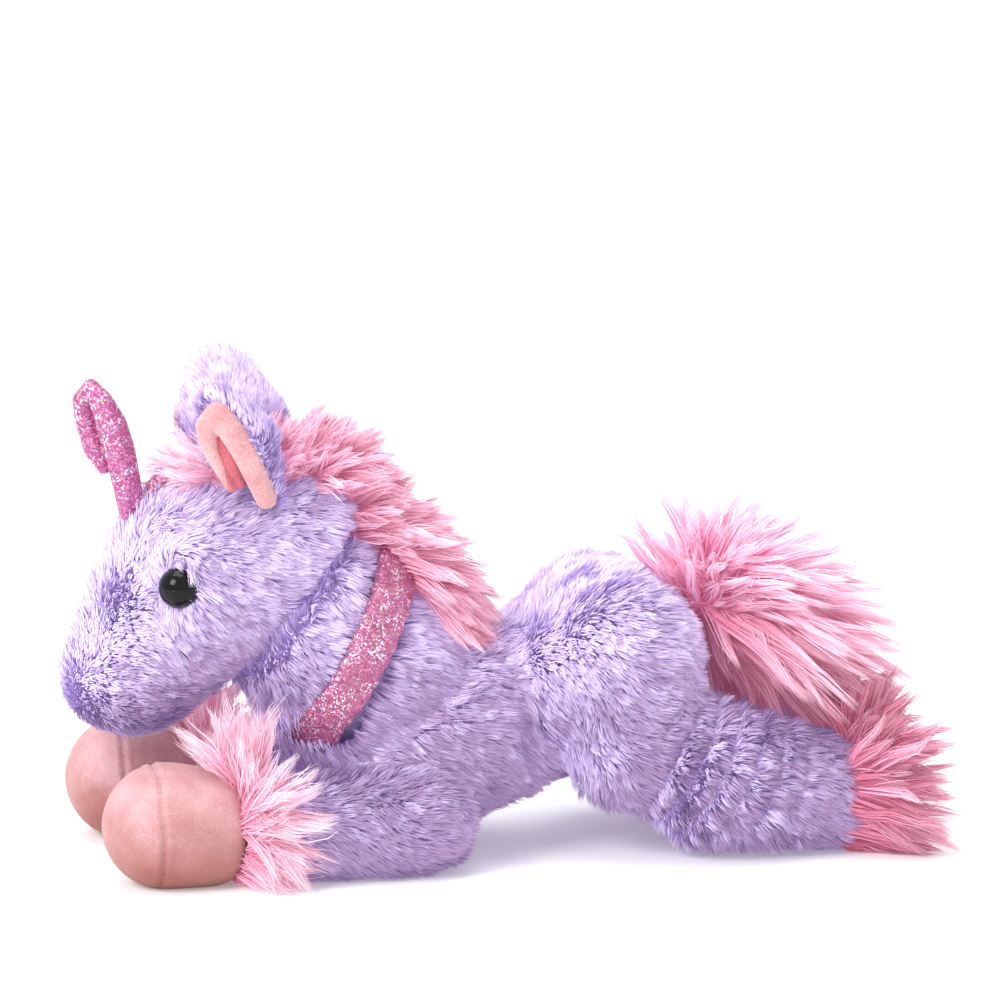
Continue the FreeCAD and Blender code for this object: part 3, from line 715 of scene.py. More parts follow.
def strand_object(
    name: str, paths: np.ndarray, width: np.ndarray, facing: np.ndarray, tone: np.ndarray, flat: float
) -> bpy.types.Object:
    """One mesh of flat tapering strands.

    Args:
        name: The object's name.
        paths: (strands, points, 3), root first.
        width: Each strand's width at its root, in metres.
        facing: The way that each strand's flat side looks.
        tone: Each strand's tone from 0 to 1, kept across the map.
        flat: How much the strands are lit as the surface they cover, from 0 to 1.

    Returns:
        The object, with the map of tone and root to tip.
    """
    count, knots = paths.shape[:2]
    rows = knots - 1
    blunt = PILE_TAPER if knots < LONG_KNOTS else LONG_TAPER
    along = np.gradient(paths, axis=1)
    side = unit(np.cross(facing[:, None, :], along))[:, :rows]
    taper = (1 - np.linspace(0, 1, knots)[:rows] ** blunt)[None, :, None]
    half = side * width[:, None, None] * 0.5 * taper
    left, right = paths[:, :rows] + half, paths[:, :rows] - half
    body = np.stack([left, right], axis=2).reshape(count, rows * 2, 3)
    points = np.concatenate([body, paths[:, -1:]], axis=1)
    each = rows * 2 + 1
    quads = [[2 * r, 2 * r + 1, 2 * r + 3, 2 * r + 2] for r in range(rows - 1)]
    pattern = np.array([i for q in quads for i in q] + [2 * rows - 2, 2 * rows - 1, 2 * rows])
    corners = (np.arange(count)[:, None] * each + pattern[None, :]).ravel()
    sizes = np.tile(np.array([4] * (rows - 1) + [3]), count)
    mesh = bpy.data.meshes.new(name)
    mesh.vertices.add(count * each)
    mesh.vertices.foreach_set("co", points.astype(np.float32).ravel())
    mesh.loops.add(len(corners))
    mesh.loops.foreach_set("vertex_index", corners.astype(np.int32))
    mesh.polygons.add(len(sizes))
    mesh.polygons.foreach_set("loop_start", np.concatenate([[0], np.cumsum(sizes)[:-1]]).astype(np.int32))
    mesh.update(calc_edges=True)
    across = np.clip(tone, 0.02, 0.98)[:, None] + np.array([-0.004, 0.004] * rows + [0.0])[None, :]
    climb = np.append(np.repeat(np.linspace(0, 1, knots)[:rows], 2), 1.0) * 0.98 + 0.01
    uv = np.stack([across, np.broadcast_to(climb, across.shape)], axis=2).reshape(-1, 2)[corners]
    layer = mesh.uv_layers.new(name=BAKE_MAP)
    layer.data.foreach_set("uv", uv.astype(np.float32).ravel())
    own = unit(np.cross(side, along[:, :rows]))
    own = np.where(np.sum(own * facing[:, None, :], axis=2, keepdims=True) < 0, -own, own)
    lit = unit(own * (1 - flat) + facing[:, None, :] * flat)
    lit = np.concatenate([np.repeat(lit, 2, axis=1), lit[:, -1:]], axis=1).reshape(-1, 3)
    mesh.polygons.foreach_set("use_smooth", np.ones(len(sizes), bool))
    mesh.normals_split_custom_set_from_vertices(lit.astype(np.float32))
    return linked(name, mesh)


@dataclass(frozen=True)
class Crease:
    """A pressed-in line where the pile parts. Lengths in millimetres."""

    line: tuple[tuple[float, float, float], ...]
    width: float = 3.0
    depth: float = 1.6

    def share(self, points: np.ndarray) -> np.ndarray:
        """From 0 away from the crease to 1 on it, on both sides of the body."""
        line = np.array(self.line) * MM
        return bell(np.minimum(gap_to_line(points, line), gap_to_line(points * MIRROR, line)), self.width * MM)


@dataclass(frozen=True)
class Pile:
    """How short or medium pile stands and gathers. Lengths in millimetres, angles in degrees."""

    length: float = 6.2
    width: float = 0.61
    lift: float = 48.0
    lift_spread: float = 11.0
    turn_feature: float = 13.0
    turn_amount: float = 0.6
    tuft: float = 3.6
    gather: float = 0.5
    per_tuft: int = 24
    shortest: float = 1.5


@dataclass(frozen=True)
class PileTone:
    """How the pile's tone varies at random and carries painted light and painted shade from the body's height and
    facing. Heights in metres, the rest as shares of the whole range of tones.

    Attributes:
        middle: The usual tone of a tuft.
        tuft_spread: How much one tuft's tone differs from the next.
        strand_spread: How much one strand's tone differs from the next.
        patch: How much whole patches differ.
        upward: How much painted light pales the pile that looks up.
        forward: How much painted light pales the pile that looks forward, towards the lamps.
        low: How much painted shade darkens the lowest pile.
        low_start: The height under which the painted shade begins.
        low_run: How far below that it is darkest.
        offset: Added everywhere.
    """

    middle: float = 0.52
    tuft_spread: float = 0.15
    strand_spread: float = 0.12
    patch: float = 0.1
    upward: float = 0.24
    forward: float = 0.19
    low: float = 0.42
    low_start: float = 0.085
    low_run: float = 0.036
    offset: float = -0.09

    def lit(self, points: np.ndarray, normals: np.ndarray) -> np.ndarray:
        """The painted light and painted shade that the height and the way a place looks add to its tone."""
        turned_back = np.clip(1 + normals[:, 0] * 0.9, 0.15, 1)
        low = self.low * ease(points[:, 2], self.low_start, -self.low_run) * turned_back
        up, forward = np.minimum(normals[:, 2], 0.3), np.clip(-normals[:, 0], 0, 1)
        return self.upward * up + self.forward * forward - low + self.offset


@dataclass
class Pelt:
    """Medium pile.

    Attributes:
        name: The pelt's object name.
        flow: The way the pile is combed, at each place.
        pile: How the pile stands.
        seed: The seed of its draws.
        length_at: A factor on the length at each place.
        tone_at: What is added to the tone at each place.
        fall: How strongly the pile hangs.
        tones: How the pile's tone varies, with its painted light and painted shade.
        noise: The pelt's own unevenness.
    """

    name: str
    flow: Field
    pile: Pile
    seed: int
    length_at: Optional[Field] = None
    tone_at: Optional[Field] = None
    fall: float = 0.5
    tones: PileTone = PileTone()
    noise: SmoothNoise = field(init=False)

    def __post_init__(self) -> None:
        """Makes the pelt's own noise."""
        self.noise = SmoothNoise(self.seed, 4)

    def stance(
        self, roots: np.ndarray, normals: np.ndarray, rng: np.random.Generator, jitter: float
    ) -> tuple[np.ndarray, np.ndarray]:
        """The direction and length of the pile at roots.

        Args:
            roots: Places on the skin.
            normals: The skin's normals there.
            rng: The source of the draws.
            jitter: How much one strand differs from the next.

        Returns:
            Unit directions and lengths.
        """
        pile = self.pile
        swirl = self.noise.at(roots, pile.turn_feature * MM)
        fine = self.noise.at(roots + 0.31, pile.tuft * 1.3 * MM)
        along = self.flow(roots)
        along = along - normals * np.sum(along * normals, axis=1, keepdims=True)
        along = along / np.maximum(np.linalg.norm(along, axis=1, keepdims=True), 0.35)
        aside = np.clip(roots[:, 1] / (15 * MM), -1, 1)
        down = np.stack([np.zeros(len(roots)), aside * 0.5, -np.ones(len(roots))], axis=1)
        comb = along + down * self.fall + swirl[:, :3] * pile.turn_amount + fine[:, :3] * pile.turn_amount * 0.6
        comb = tangent(comb + rng.normal(0, jitter, roots.shape), normals)
        uneven = swirl[:, 3] + fine[:, 3] * 0.8 + rng.normal(0, jitter * 2, len(roots))
        angle = np.radians(np.clip(pile.lift + pile.lift_spread * uneven, 8, 85))[:, None]
        direction = comb * np.cos(angle) + normals * np.sin(angle)
        length = pile.length * MM * (1 + 0.18 * fine[:, 3] + rng.normal(0, 0.12, len(roots)))
        if self.length_at is not None:
            length = length * self.length_at(roots)
        return direction, np.maximum(length, pile.shortest * MM)

    def grow(
        self, roots: np.ndarray, normals: np.ndarray, heads: np.ndarray, head_normals: np.ndarray, draw: int = 0
    ) -> bpy.types.Object:
        """Grows the pelt.

        Args:
            roots: Where the strands grow.
            normals: The skin's normals there.
            heads: The middles of the tufts that the strands gather in.
            head_normals: The skin's normals there.
            draw: Added to the seed for this part of the pelt.

        Returns:
            The pelt's object.
        """
        rng = np.random.default_rng(self.seed + 1000 * draw)
        direction, length = self.stance(roots, normals, rng, 0.2)
        shared = np.random.default_rng(self.seed + 7)
        head_direction, head_length = self.stance(heads, head_normals, shared, 0.06)
        head_tone = self.tones.middle + self.tones.tuft_spread * shared.normal(0, 1, len(heads))
        tree = point_tree(heads)
        mine = np.array([tree.find(root)[1] for root in roots])
        apart = roots - heads[mine]
        pull = self.pile.gather * bell(np.linalg.norm(apart, axis=1), self.pile.tuft * MM)[:, None]
        reach = length[:, None]
        head_reach = head_length[mine][:, None]
        tip = roots + direction * reach
        tuft_tip = heads[mine] + head_direction[mine] * head_reach * 1.08 + apart * 0.25
        tip = tip * (1 - pull) + tuft_tip * pull
        middle = roots + unit(direction + normals * 0.6) * reach * 0.5
        tuft_rise = unit(head_direction[mine] + head_normals[mine] * 0.5) * head_reach * 0.5
        tuft_middle = heads[mine] + tuft_rise + apart * 0.7
        middle = middle * (1 - pull * 0.6) + tuft_middle * pull * 0.6
        start = roots - normals * 0.5 * MM
        paths = np.stack([start, middle, tip], axis=1)
        paths[:, :, 2] = np.maximum(paths[:, :, 2], FLOOR_GAP)
        tone = head_tone[mine] + rng.normal(0, self.tones.strand_spread, len(roots))
        # Random patches, then the painted light and painted shade of height and facing.
        tone = tone + self.tones.patch * self.noise.at(roots, 20 * MM)[:, 0] + self.tones.lit(roots, normals)
        if self.tone_at is not None:
            tone = tone + self.tone_at(roots)
        width = self.pile.width * MM * rng.uniform(0.7, 1.3, len(roots))
        facing = unit(normals + rng.normal(0, 0.2, normals.shape))
        obj = strand_object(self.name, paths, width, facing, tone, flat=0.85)
        dress(obj, LAVENDER)
        log.info("%s: %d strands", self.name, len(roots))
        return obj

    def over(self, skin: bpy.types.Object, count: int, keep: Optional[Field] = None) -> bpy.types.Object:
        """Grows the pelt over the whole of one skin."""
        rng = np.random.default_rng(self.seed + 3)
        roots, normals = scatter(skin, count, rng, keep)[:2]
        heads, head_normals = scatter(skin, max(8, count // self.pile.per_tuft), rng, keep)[:2]
        return self.grow(roots, normals, heads, head_normals)


@dataclass(frozen=True)
class Tress:
    """Long pile in pointed locks. Lengths in millimetres.

    Attributes:
        name: The object's name.
        node: The CAD trim that the locks stand for.
        count: How many locks.
        strands: How many strands a lock has.
        guide: Draws the locks' roots, directions and lengths.
        seed: The seed of its draws.
        droop: How far a lock falls at its tip, as a share of its length.
        wave: The height of its waves.
        knots: Points along a strand.
        width: A strand's width.
        root_spread: How far apart a lock's roots are.
        belly: How fat a lock is half way.
        fray: How far apart its tips are.
        uneven: How much shorter some of its strands are.
        finish: The locks' finish.
        tone_at: What is added to the tone of a lock whose half-way point is at each place.
    """

    name: str
    node: str
    count: int
    strands: int
    guide: Guide
    seed: int
    droop: float = 0.22
    wave: float = 0.9
    knots: int = 5
    width: float = 0.5
    root_spread: float = 1.3
    belly: float = 1.3
    fray: float = 0.45
    uneven: float = 0.3
    finish: StrandFinish = PINK
    tone_at: Optional[Field] = None

    def build(self) -> bpy.types.Object:
        """Lays the locks and returns their object."""
        rng = np.random.default_rng(self.seed)
        roots, directions, lengths = self.guide(rng, self.count)
        share = np.linspace(0, 1, self.knots)[None, :, None]
        reach = lengths[:, None, None]
        spine = roots[:, None, :] + directions[:, None, :] * reach * share
        spine = spine - UP * reach * self.droop * share**2
        for _ in range(2):
            aside = tangent(rng.normal(0, 1, directions.shape), directions)[:, None, :]
            beat = rng.uniform(0.35, 0.9, (self.count, 1, 1)) * reach / (16 * MM)
            swing = np.sin(2 * math.pi * (beat * share + rng.random((self.count, 1, 1))))
            spine = spine + aside * swing * self.wave * MM * share
        many = np.repeat(spine, self.strands, axis=0)
        total = len(many)
        profile = self.root_spread * (1 - share) + self.belly * 3 * share * (1 - share) + self.fray * share
        scatter_by = rng.normal(0, 1, (total, 1, 3)) * MM * 0.6
        shorter = 1 - rng.random((total, 1, 1)) ** 2 * self.uneven
        origin = many[:, :1]
        many = origin + (many - origin) * shorter + scatter_by * profile
        stray = rng.normal(0, 1, (total, 1, 3)) * (rng.random((total, 1, 1)) < 0.08) * 2.2 * MM
        many = many + stray * share**1.5
        many[:, :, 2] = np.maximum(many[:, :, 2], 2 * FLOOR_GAP)
        beyond = np.maximum(np.abs(many[:, :, 1]) - SIDE_LIMIT, 0)
        many[:, :, 1] -= np.sign(many[:, :, 1]) * beyond * SIDE_SQUEEZE
        run = unit(many[:, -1] - many[:, 0])
        outward = np.repeat(unit(roots - roots.mean(axis=0)), self.strands, axis=0)
        facing = tangent(rng.normal(0, 1, run.shape) + outward, run)
        lock_tone = 0.52 + 0.2 * rng.normal(0, 1, self.count)
        if self.tone_at is not None:
            lock_tone = lock_tone + self.tone_at(roots + directions * lengths[:, None] * 0.5)
        tone = np.repeat(lock_tone, self.strands) + rng.normal(0, 0.1, total)
        width = self.width * MM * rng.uniform(0.6, 1.3, total)
        obj = strand_object(self.name, many, width, facing, tone, flat=0.5)
        dress(obj, self.finish)
        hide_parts(self.node)
        log.info("%s: %d locks of %d strands", self.name, self.count, self.strands)
        return obj


def gap_to_line(points: np.ndarray, line: np.ndarray) -> np.ndarray:
    """How far each point is from a line of straight runs."""
    best = np.full(len(points), np.inf)
    for a, b in zip(line, line[1:]):
        run = b - a
        share = np.clip((points - a) @ run / (run @ run), 0, 1)[:, None]
        best = np.minimum(best, np.linalg.norm(points - a - run * share, axis=1))
    return best


def fan(angle: np.ndarray, sideways: np.ndarray) -> np.ndarray:
    """Directions from an angle in degrees above +X and one towards +Y."""
    rise, turn = np.radians(angle), np.radians(sideways)
    return np.stack([np.cos(rise) * np.cos(turn), np.sin(turn), np.sin(rise) * np.cos(turn)], axis=1)


def crest_guide(
    crest: Sequence[tuple[float, float]], angles: Sequence[float], lengths: Sequence[float], half_width: float
) -> Guide:
    """Locks that grow in a strip along a crest on the middle plane.

    Args:
        crest: The strip's X and Z, in millimetres.
        angles: The locks' angle above +X at each of those points, in degrees.
        lengths: Their lengths there, in millimetres.
        half_width: Half of the strip's width, in millimetres.

    Returns:
        The guide.
    """

    def draw(rng: np.random.Generator, count: int) -> tuple[np.ndarray, np.ndarray, np.ndarray]:
        at = rng.uniform(0, len(crest) - 1, count)
        knots = np.arange(len(crest))
        x, z = (np.interp(at, knots, column) for column in zip(*crest))
        aside = rng.uniform(-1, 1, count)
        drop = aside**2 * half_width * 0.3
        roots = np.stack([x, aside * half_width, z - drop], axis=1) * MM
        angle = np.interp(at, knots, angles) + rng.normal(0, 13, count)
        length = np.interp(at, knots, lengths) * rng.uniform(0.6, 1.12, count) * (1 - 0.15 * np.abs(aside))
        return roots, fan(angle, aside * 42 + rng.normal(0, 11, count)), length * MM

    return draw


# --- Sub-assemblies -----------------------------------------------------------------------------------------


BODY_SKINS = (
    "trunk", "neck", "foreleg_left", "foreleg_right", "thigh_left", "thigh_right", "shank_left", "shank_right"
)


def node_of(body: str, part: str) -> str:
    """The CAD name of a body's cover or stuffing."""
    stem, _, tag = body.partition("_")
    return f"{stem}_{part}_{tag}" if tag else f"{stem}_{part}"


@dataclass
class Skins:
    """The knitted backing of each stuffed part, which hides under the pile. Lengths in millimetres.

    Attributes:
        voxel: The remesh size.
        tuck: How far the backing lies inside the stuffing's surface.
    """

    voxel: float = 2.6
    tuck: float = 0.8

    def build(self) -> None:
        """Builds one closed skin a body."""
        for body in (*BODY_SKINS, "head"):
            cover, stuffing = node_of(body, "cover"), node_of(body, "stuffing")
            skin = padded_form(stuffing, node_of(body, "skin"), self.voxel, -self.tuck, smooth=3)
            dress(skin, LAVENDER_BACKING)
            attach(skin, body)
            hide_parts(cover, stuffing)
            log.info("skin of %s", body)


@dataclass
class Coat:
    """The pile of the whole body behind the head, combed as one so that no seam shows where parts meet.

    Attributes:
        count: How many strands in all.
        cloth: How far the stuffing lies inside the covers, in millimetres.
        voxel: The remesh size, in millimetres.
        soften: How many times the meeting lines are smoothed.
        most: The most strands that one piece may have.
        haunch: The X and Z of the whorl's middle, in millimetres.
        whorl: The whorl's radius, in millimetres.
        knee: Where the wrinkles begin and end along X, and the height that they stop at, in millimetres.
        fold_pitch: How far apart the wrinkles are, in millimetres.
        fold_height: How high they stand, in millimetres.
        fillers: Balls (x, y, z, radius) that round off the places where limbs meet the body, in millimetres.
        creases: The lines along which the limbs are sewn on.
    """

    count: int = 222000
    cloth: float = 3.1
    voxel: float = 2.0
    soften: int = 11
    most: int = 66000
    haunch: tuple[float, float] = (38.0, 66.0)
    whorl: float = 16.0
    knee: tuple[float, float, float] = (38.0, 98.0, 62.0)
    fold_pitch: float = 8.2
    fold_height: float = 2.2
    fillers: tuple[Ball, ...] = (
        (35, 19, 66, 26.0), (24, 15, 60, 25.5), (38, 21, 50, 24.0), (58, 27, 31, 22.5), (-52, 0, 52, 33.5),
        (-42, 24, 32, 15.0), (-34, 27, 28, 15.0), (45, 24, 36, 22.0),
    )
    creases: tuple[Crease, ...] = (
        Crease(((5.5, 36, 70), (6, 40, 58), (8, 42, 48), (11, 42, 38)), 3.0, 1.8),
        Crease(((-66, 33, 36), (-50, 38, 37), (-36, 38, 37), (-24, 36, 33)), 2.6, 1.2),
    )

    def fold(self, points: np.ndarray) -> np.ndarray:
        """The wrinkles across the knee and shank, from -1 in a valley to 1 on a ridge."""
        across = points[:, 0] * 0.87 - points[:, 2] * 0.5
        wobble = SmoothNoise(seed=83).at(points, 22 * MM)[:, 0]
        first, last, top = (edge * MM for edge in self.knee)
        share = ease(points[:, 0], first, 10 * MM) * ease(points[:, 0], last, -20 * MM)
        share = share * ease(points[:, 2], top, -12 * MM)
        return np.sin(across / (self.fold_pitch * MM) * 2 * math.pi + wobble * 2.4) * share

    def flow(self, points: np.ndarray) -> np.ndarray:
        """Straight back, with a faint whorl on the haunch."""
        away = points - place(self.haunch[0], 0, self.haunch[1])
        away[:, 1] = 0
        near = bell(np.linalg.norm(away, axis=1), self.whorl * MM)[:, None]
        swirl = np.stack([-away[:, 2], np.zeros(len(away)), away[:, 0]], axis=1)
        return BACK + (unit(away) * 0.4 + unit(swirl) * 0.8) * near * 0.6

    def surface(self) -> bpy.types.Object:
        """The whole body's surface as one softened form."""
        copies = []
        for body in BODY_SKINS:
            copy = copy_of_node(node_of(body, "stuffing"), f"form_{body}")
            move_points(copy, points_of(copy) + normals_of(copy) * self.cloth * MM)
            copies.append(copy)
        select_only(copies[0])
        for (x, y, z, radius), side in product(self.fillers, Side):
            bpy.ops.mesh.primitive_ico_sphere_add(
                subdivisions=4, radius=(radius + 0.4) * MM, location=place(x, y * side.value, z)
            )
            copies.append(bpy.context.active_object)
        select_only(copies[0])
        for copy in copies:
            copy.select_set(True)
        bpy.ops.object.join()
        form = bpy.context.active_object
        apply_modifier(form, "REMESH", mode="VOXEL", voxel_size=self.voxel * MM)
        apply_modifier(form, "SMOOTH", factor=0.5, iterations=self.soften)
        points, normals = points_of(form), normals_of(form)
        depth = SmoothNoise(seed=57).at(points, 18 * MM)[:, 0] * 0.9 - (self.cloth - 0.2)
        depth = depth + self.fold(points) * self.fold_height
        for crease in self.creases:
            depth = depth - crease.share(points) * crease.depth
        move_points(form, points + normals * depth[:, None] * MM)
        return form

    def tone_at(self, points: np.ndarray) -> np.ndarray:
        """Painted shade in the wrinkles' valleys and in the creases."""
        tone = 0.16 * np.minimum(self.fold(points), 0)
        for crease in self.creases:
            tone = tone - 0.2 * crease.share(points)
        return tone

    def length_at(self, points: np.ndarray) -> np.ndarray:
        """Shorter in the creases."""
        factor = 1 + 0.15 * np.minimum(self.fold(points), 0)
        for crease in self.creases:
            factor = factor - 0.35 * crease.share(points)
        return factor

    def carry(self, pelt: bpy.types.Object, body: str) -> None:
        """Attaches the trunk's pile to the trunk and bakes each other piece's transform into its mesh."""
        stem, _, tag = body.partition("_")
        if stem == "trunk":
            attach(pelt, "trunk")
        elif stem == "neck":
            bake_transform(pelt)
        elif stem == "foreleg":
            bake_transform(pelt)
        elif stem == "thigh":
            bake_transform(pelt)
        else:
            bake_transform(pelt)

    def build(self) -> None:
        """Builds the pile, one piece a body."""
        form = self.surface()
        points = points_of(form)
        trees = [tree_of([node_of(body, "cover")]) for body in BODY_SKINS]
        gaps = np.array([[tree.find_nearest(Vector(p))[3] for p in points] for tree in trees])
        nearest = gaps.argmin(axis=0)
        hidden = ["head_cover", "collar"]
        hidden += [f"{end}_hoof_cover_{side.tag}" for end in ("fore", "hind") for side in Side]
        clear = np.minimum(openness(form, hidden[1:]), openness(form, hidden[:1], stand_off=1.5, near=0.8))
        rng = np.random.default_rng(58)
        keep = value_nearby(points, clear)
        roots, normals, corner = scatter(form, self.count, rng, keep)
        heads, head_normals, _ = scatter(form, self.count // Pile().per_tuft, rng, keep)
        for i, body in enumerate(BODY_SKINS):
            chosen = np.flatnonzero(nearest[corner] == i)[: self.most]
            pelt = Pelt(node_of(body, "pelt"), self.flow, Pile(), 59, self.length_at, self.tone_at)
            part = pelt.grow(roots[chosen], normals[chosen], heads, head_normals, draw=i)
            self.carry(part, body)
        bpy.data.objects.remove(form)


@dataclass
class Head:
    """The head's pile, the eyes, the forelock and the tab behind the horn. Lengths in millimetres.

    Attributes:
        eye: The right eye's middle.
        count: How many strands the pile has.
        snub: How far the front of the face is filled out.
        socket: How high the rim round each eye stands.
        clearing: How near to an eye's middle no pile grows.
        gusset: The seam down the side of the nose.
        cheek: The crease behind the cheek.
    """

    eye: tuple[float, float, float] = (-115.7, 28.5, 98.2)
    count: int = 66000
    snub: float = 2.6
    socket: float = 2.2
    clearing: float = 5.0
    gusset: Crease = Crease(
        ((-119, 17, 115), (-125.5, 18.5, 106), (-134.5, 17, 90), (-139, 14, 72), (-142, 13, 58)), 2.2, 0.6
    )
    cheek: Crease = Crease(((-92, 33, 88), (-98, 31, 76), (-104, 28, 66)), 3.5, 0.8)

    def eye_at(self, side: Side) -> np.ndarray:
        """The middle of one side's eye, in metres."""
        return place(self.eye[0], self.eye[1] * side.value, self.eye[2])

    def eye_gap(self, points: np.ndarray) -> np.ndarray:
        """How far each point is from the nearer eye."""
        return np.minimum(*(np.linalg.norm(points - self.eye_at(side), axis=1) for side in Side))

    def flow(self, points: np.ndarray) -> np.ndarray:
        """Back from the nose, down the cheeks and away from the eyes."""
        front = ease(points[:, 0], -104 * MM, -20 * MM) * np.clip(1.25 - np.abs(points[:, 1]) / (20 * MM), 0.2, 1)
        base = 0.9 * BACK + 0.9 * UP * front[:, None]
        nose = place(-147, 0, 50)
        base = base + unit(points - nose) * bell_at(points, nose, 20)[:, None] * 0.5
        for side in Side:
            eye = self.eye_at(side)
            base = base + unit(points - eye) * bell_at(points, eye, 14)[:, None] * 1.5
            base = base + np.array([-0.3, 0.0, -2.6]) * bell_at(points, eye + place(2, 0, 9), 6)[:, None]
        return base

    def length_at(self, points: np.ndarray) -> np.ndarray:
        """Shorter at the nose, in creases and round the eyes, longer on the brows."""
        factor = 1 - 0.42 * bell_at(points, place(-143, 0, 60), 42) + 0.1 * bell(self.eye_gap(points), 11 * MM)
        for side in Side:
            factor = factor + 0.5 * bell_at(points, self.eye_at(side) + place(1, 0, 8.5), 6)
        return factor - 0.2 * self.gusset.share(points)

    def tone_at(self, points: np.ndarray) -> np.ndarray:
        """Painted light at the nose, which faces the lamps, and painted shade in the creases."""
        tone = 0.16 * bell_at(points, place(-143, 0, 66), 36) - 0.02
        return tone - 0.08 * self.gusset.share(points) - 0.12 * self.cheek.share(points)

    def pelt(self) -> None:
        """Grows the head's pile."""
        form = padded_form("head_stuffing", "form_head", voxel=2.4, swell=0.0, smooth=5)
        points, normals = points_of(form), normals_of(form)
        depth = SmoothNoise(seed=12).at(points, 18 * MM)[:, 0] * 0.8
        depth = depth + self.snub * ease(-normals[:, 0], 0.25, 0.6) * ease(points[:, 2], 45 * MM, 10 * MM)
        depth = depth + self.socket * bell(self.eye_gap(points) - 7.5 * MM, 3.5 * MM)
        for crease in (self.gusset, self.cheek):
            depth = depth - crease.share(points) * crease.depth
        move_points(form, points + normals * depth[:, None] * MM)
        near_neck = ["neck_cover", "horn_cover", "ear_shell_left", "ear_shell_right"]
        clear = openness(form, near_neck, stand_off=1.5, near=0.8)
        clear[self.eye_gap(points) < self.clearing * MM] = 0
        pelt = Pelt("head_pelt", self.flow, Pile(), 11, self.length_at, self.tone_at, fall=0.35)
        fur = pelt.over(form, self.count, value_nearby(points, clear))
        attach(fur, "head")
        bpy.data.objects.remove(form)

    def build(self) -> None:
        """Builds the head's pieces."""
        self.pelt()
        self.polish_eyes()

        def lock(rng: np.random.Generator, count: int) -> tuple[np.ndarray, np.ndarray, np.ndarray]:
            patch = ((-106, -92), (-8, 8), (127, 130))
            roots = np.stack([rng.uniform(low, high, count) for low, high in patch], axis=1)
            directions = fan(rng.normal(152, 17, count), rng.normal(0, 20, count))
            return roots * MM, directions, rng.uniform(14, 27, count) * MM

        forelock = Tress(
            "forelock_locks", "forelock", count=90, strands=26, guide=lock, seed=22, droop=0.1, belly=0.9, width=0.42,
            finish=PALE_PINK, tone_at=even(0.2),
        ).build()
        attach(forelock, "head")
        tab_run = [(-121, -1.5, 125, 2.4), (-117, -1.0, 130.5, 3.0)]
        tab = rounded_chain("horn_tab_cloth", [tab_run], voxel=0.5, smooth=1)
        dress(tab, HORN_GLITTER)
        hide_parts("horn_tab")
        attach(tab, "head")

    def polish_eyes(self) -> None:
        """Gives the eyes' own CAD domes, and the washers hidden behind them, their gloss."""
        for part, side in product(("eye", "eye_washer"), Side):
            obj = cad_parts[f"{part}_{side.tag}"]
            obj.data.materials.clear()
            obj.data.materials.append(material_of(EYE_GLOSS))


@dataclass(frozen=True)
class EarFur:
    """How one ear is furred.

    Attributes:
        count: How many strands it has.
        length: Their length, in millimetres.
        rim: How far the fur comes round the rim, as the cosine of the angle to the way the ear opens.
        bright: Painted light added to its tone; below 0, as on the far ear, painted shade.
    """

    count: int
    length: float
    rim: float
    bright: float


# The near, left ear's fur gets painted light, the far, right ear's painted shade.
EAR_FUR = {Side.LEFT: EarFur(12500, 5.0, 0.75, 0.1), Side.RIGHT: EarFur(25000, 6.6, 0.62, -0.06)}


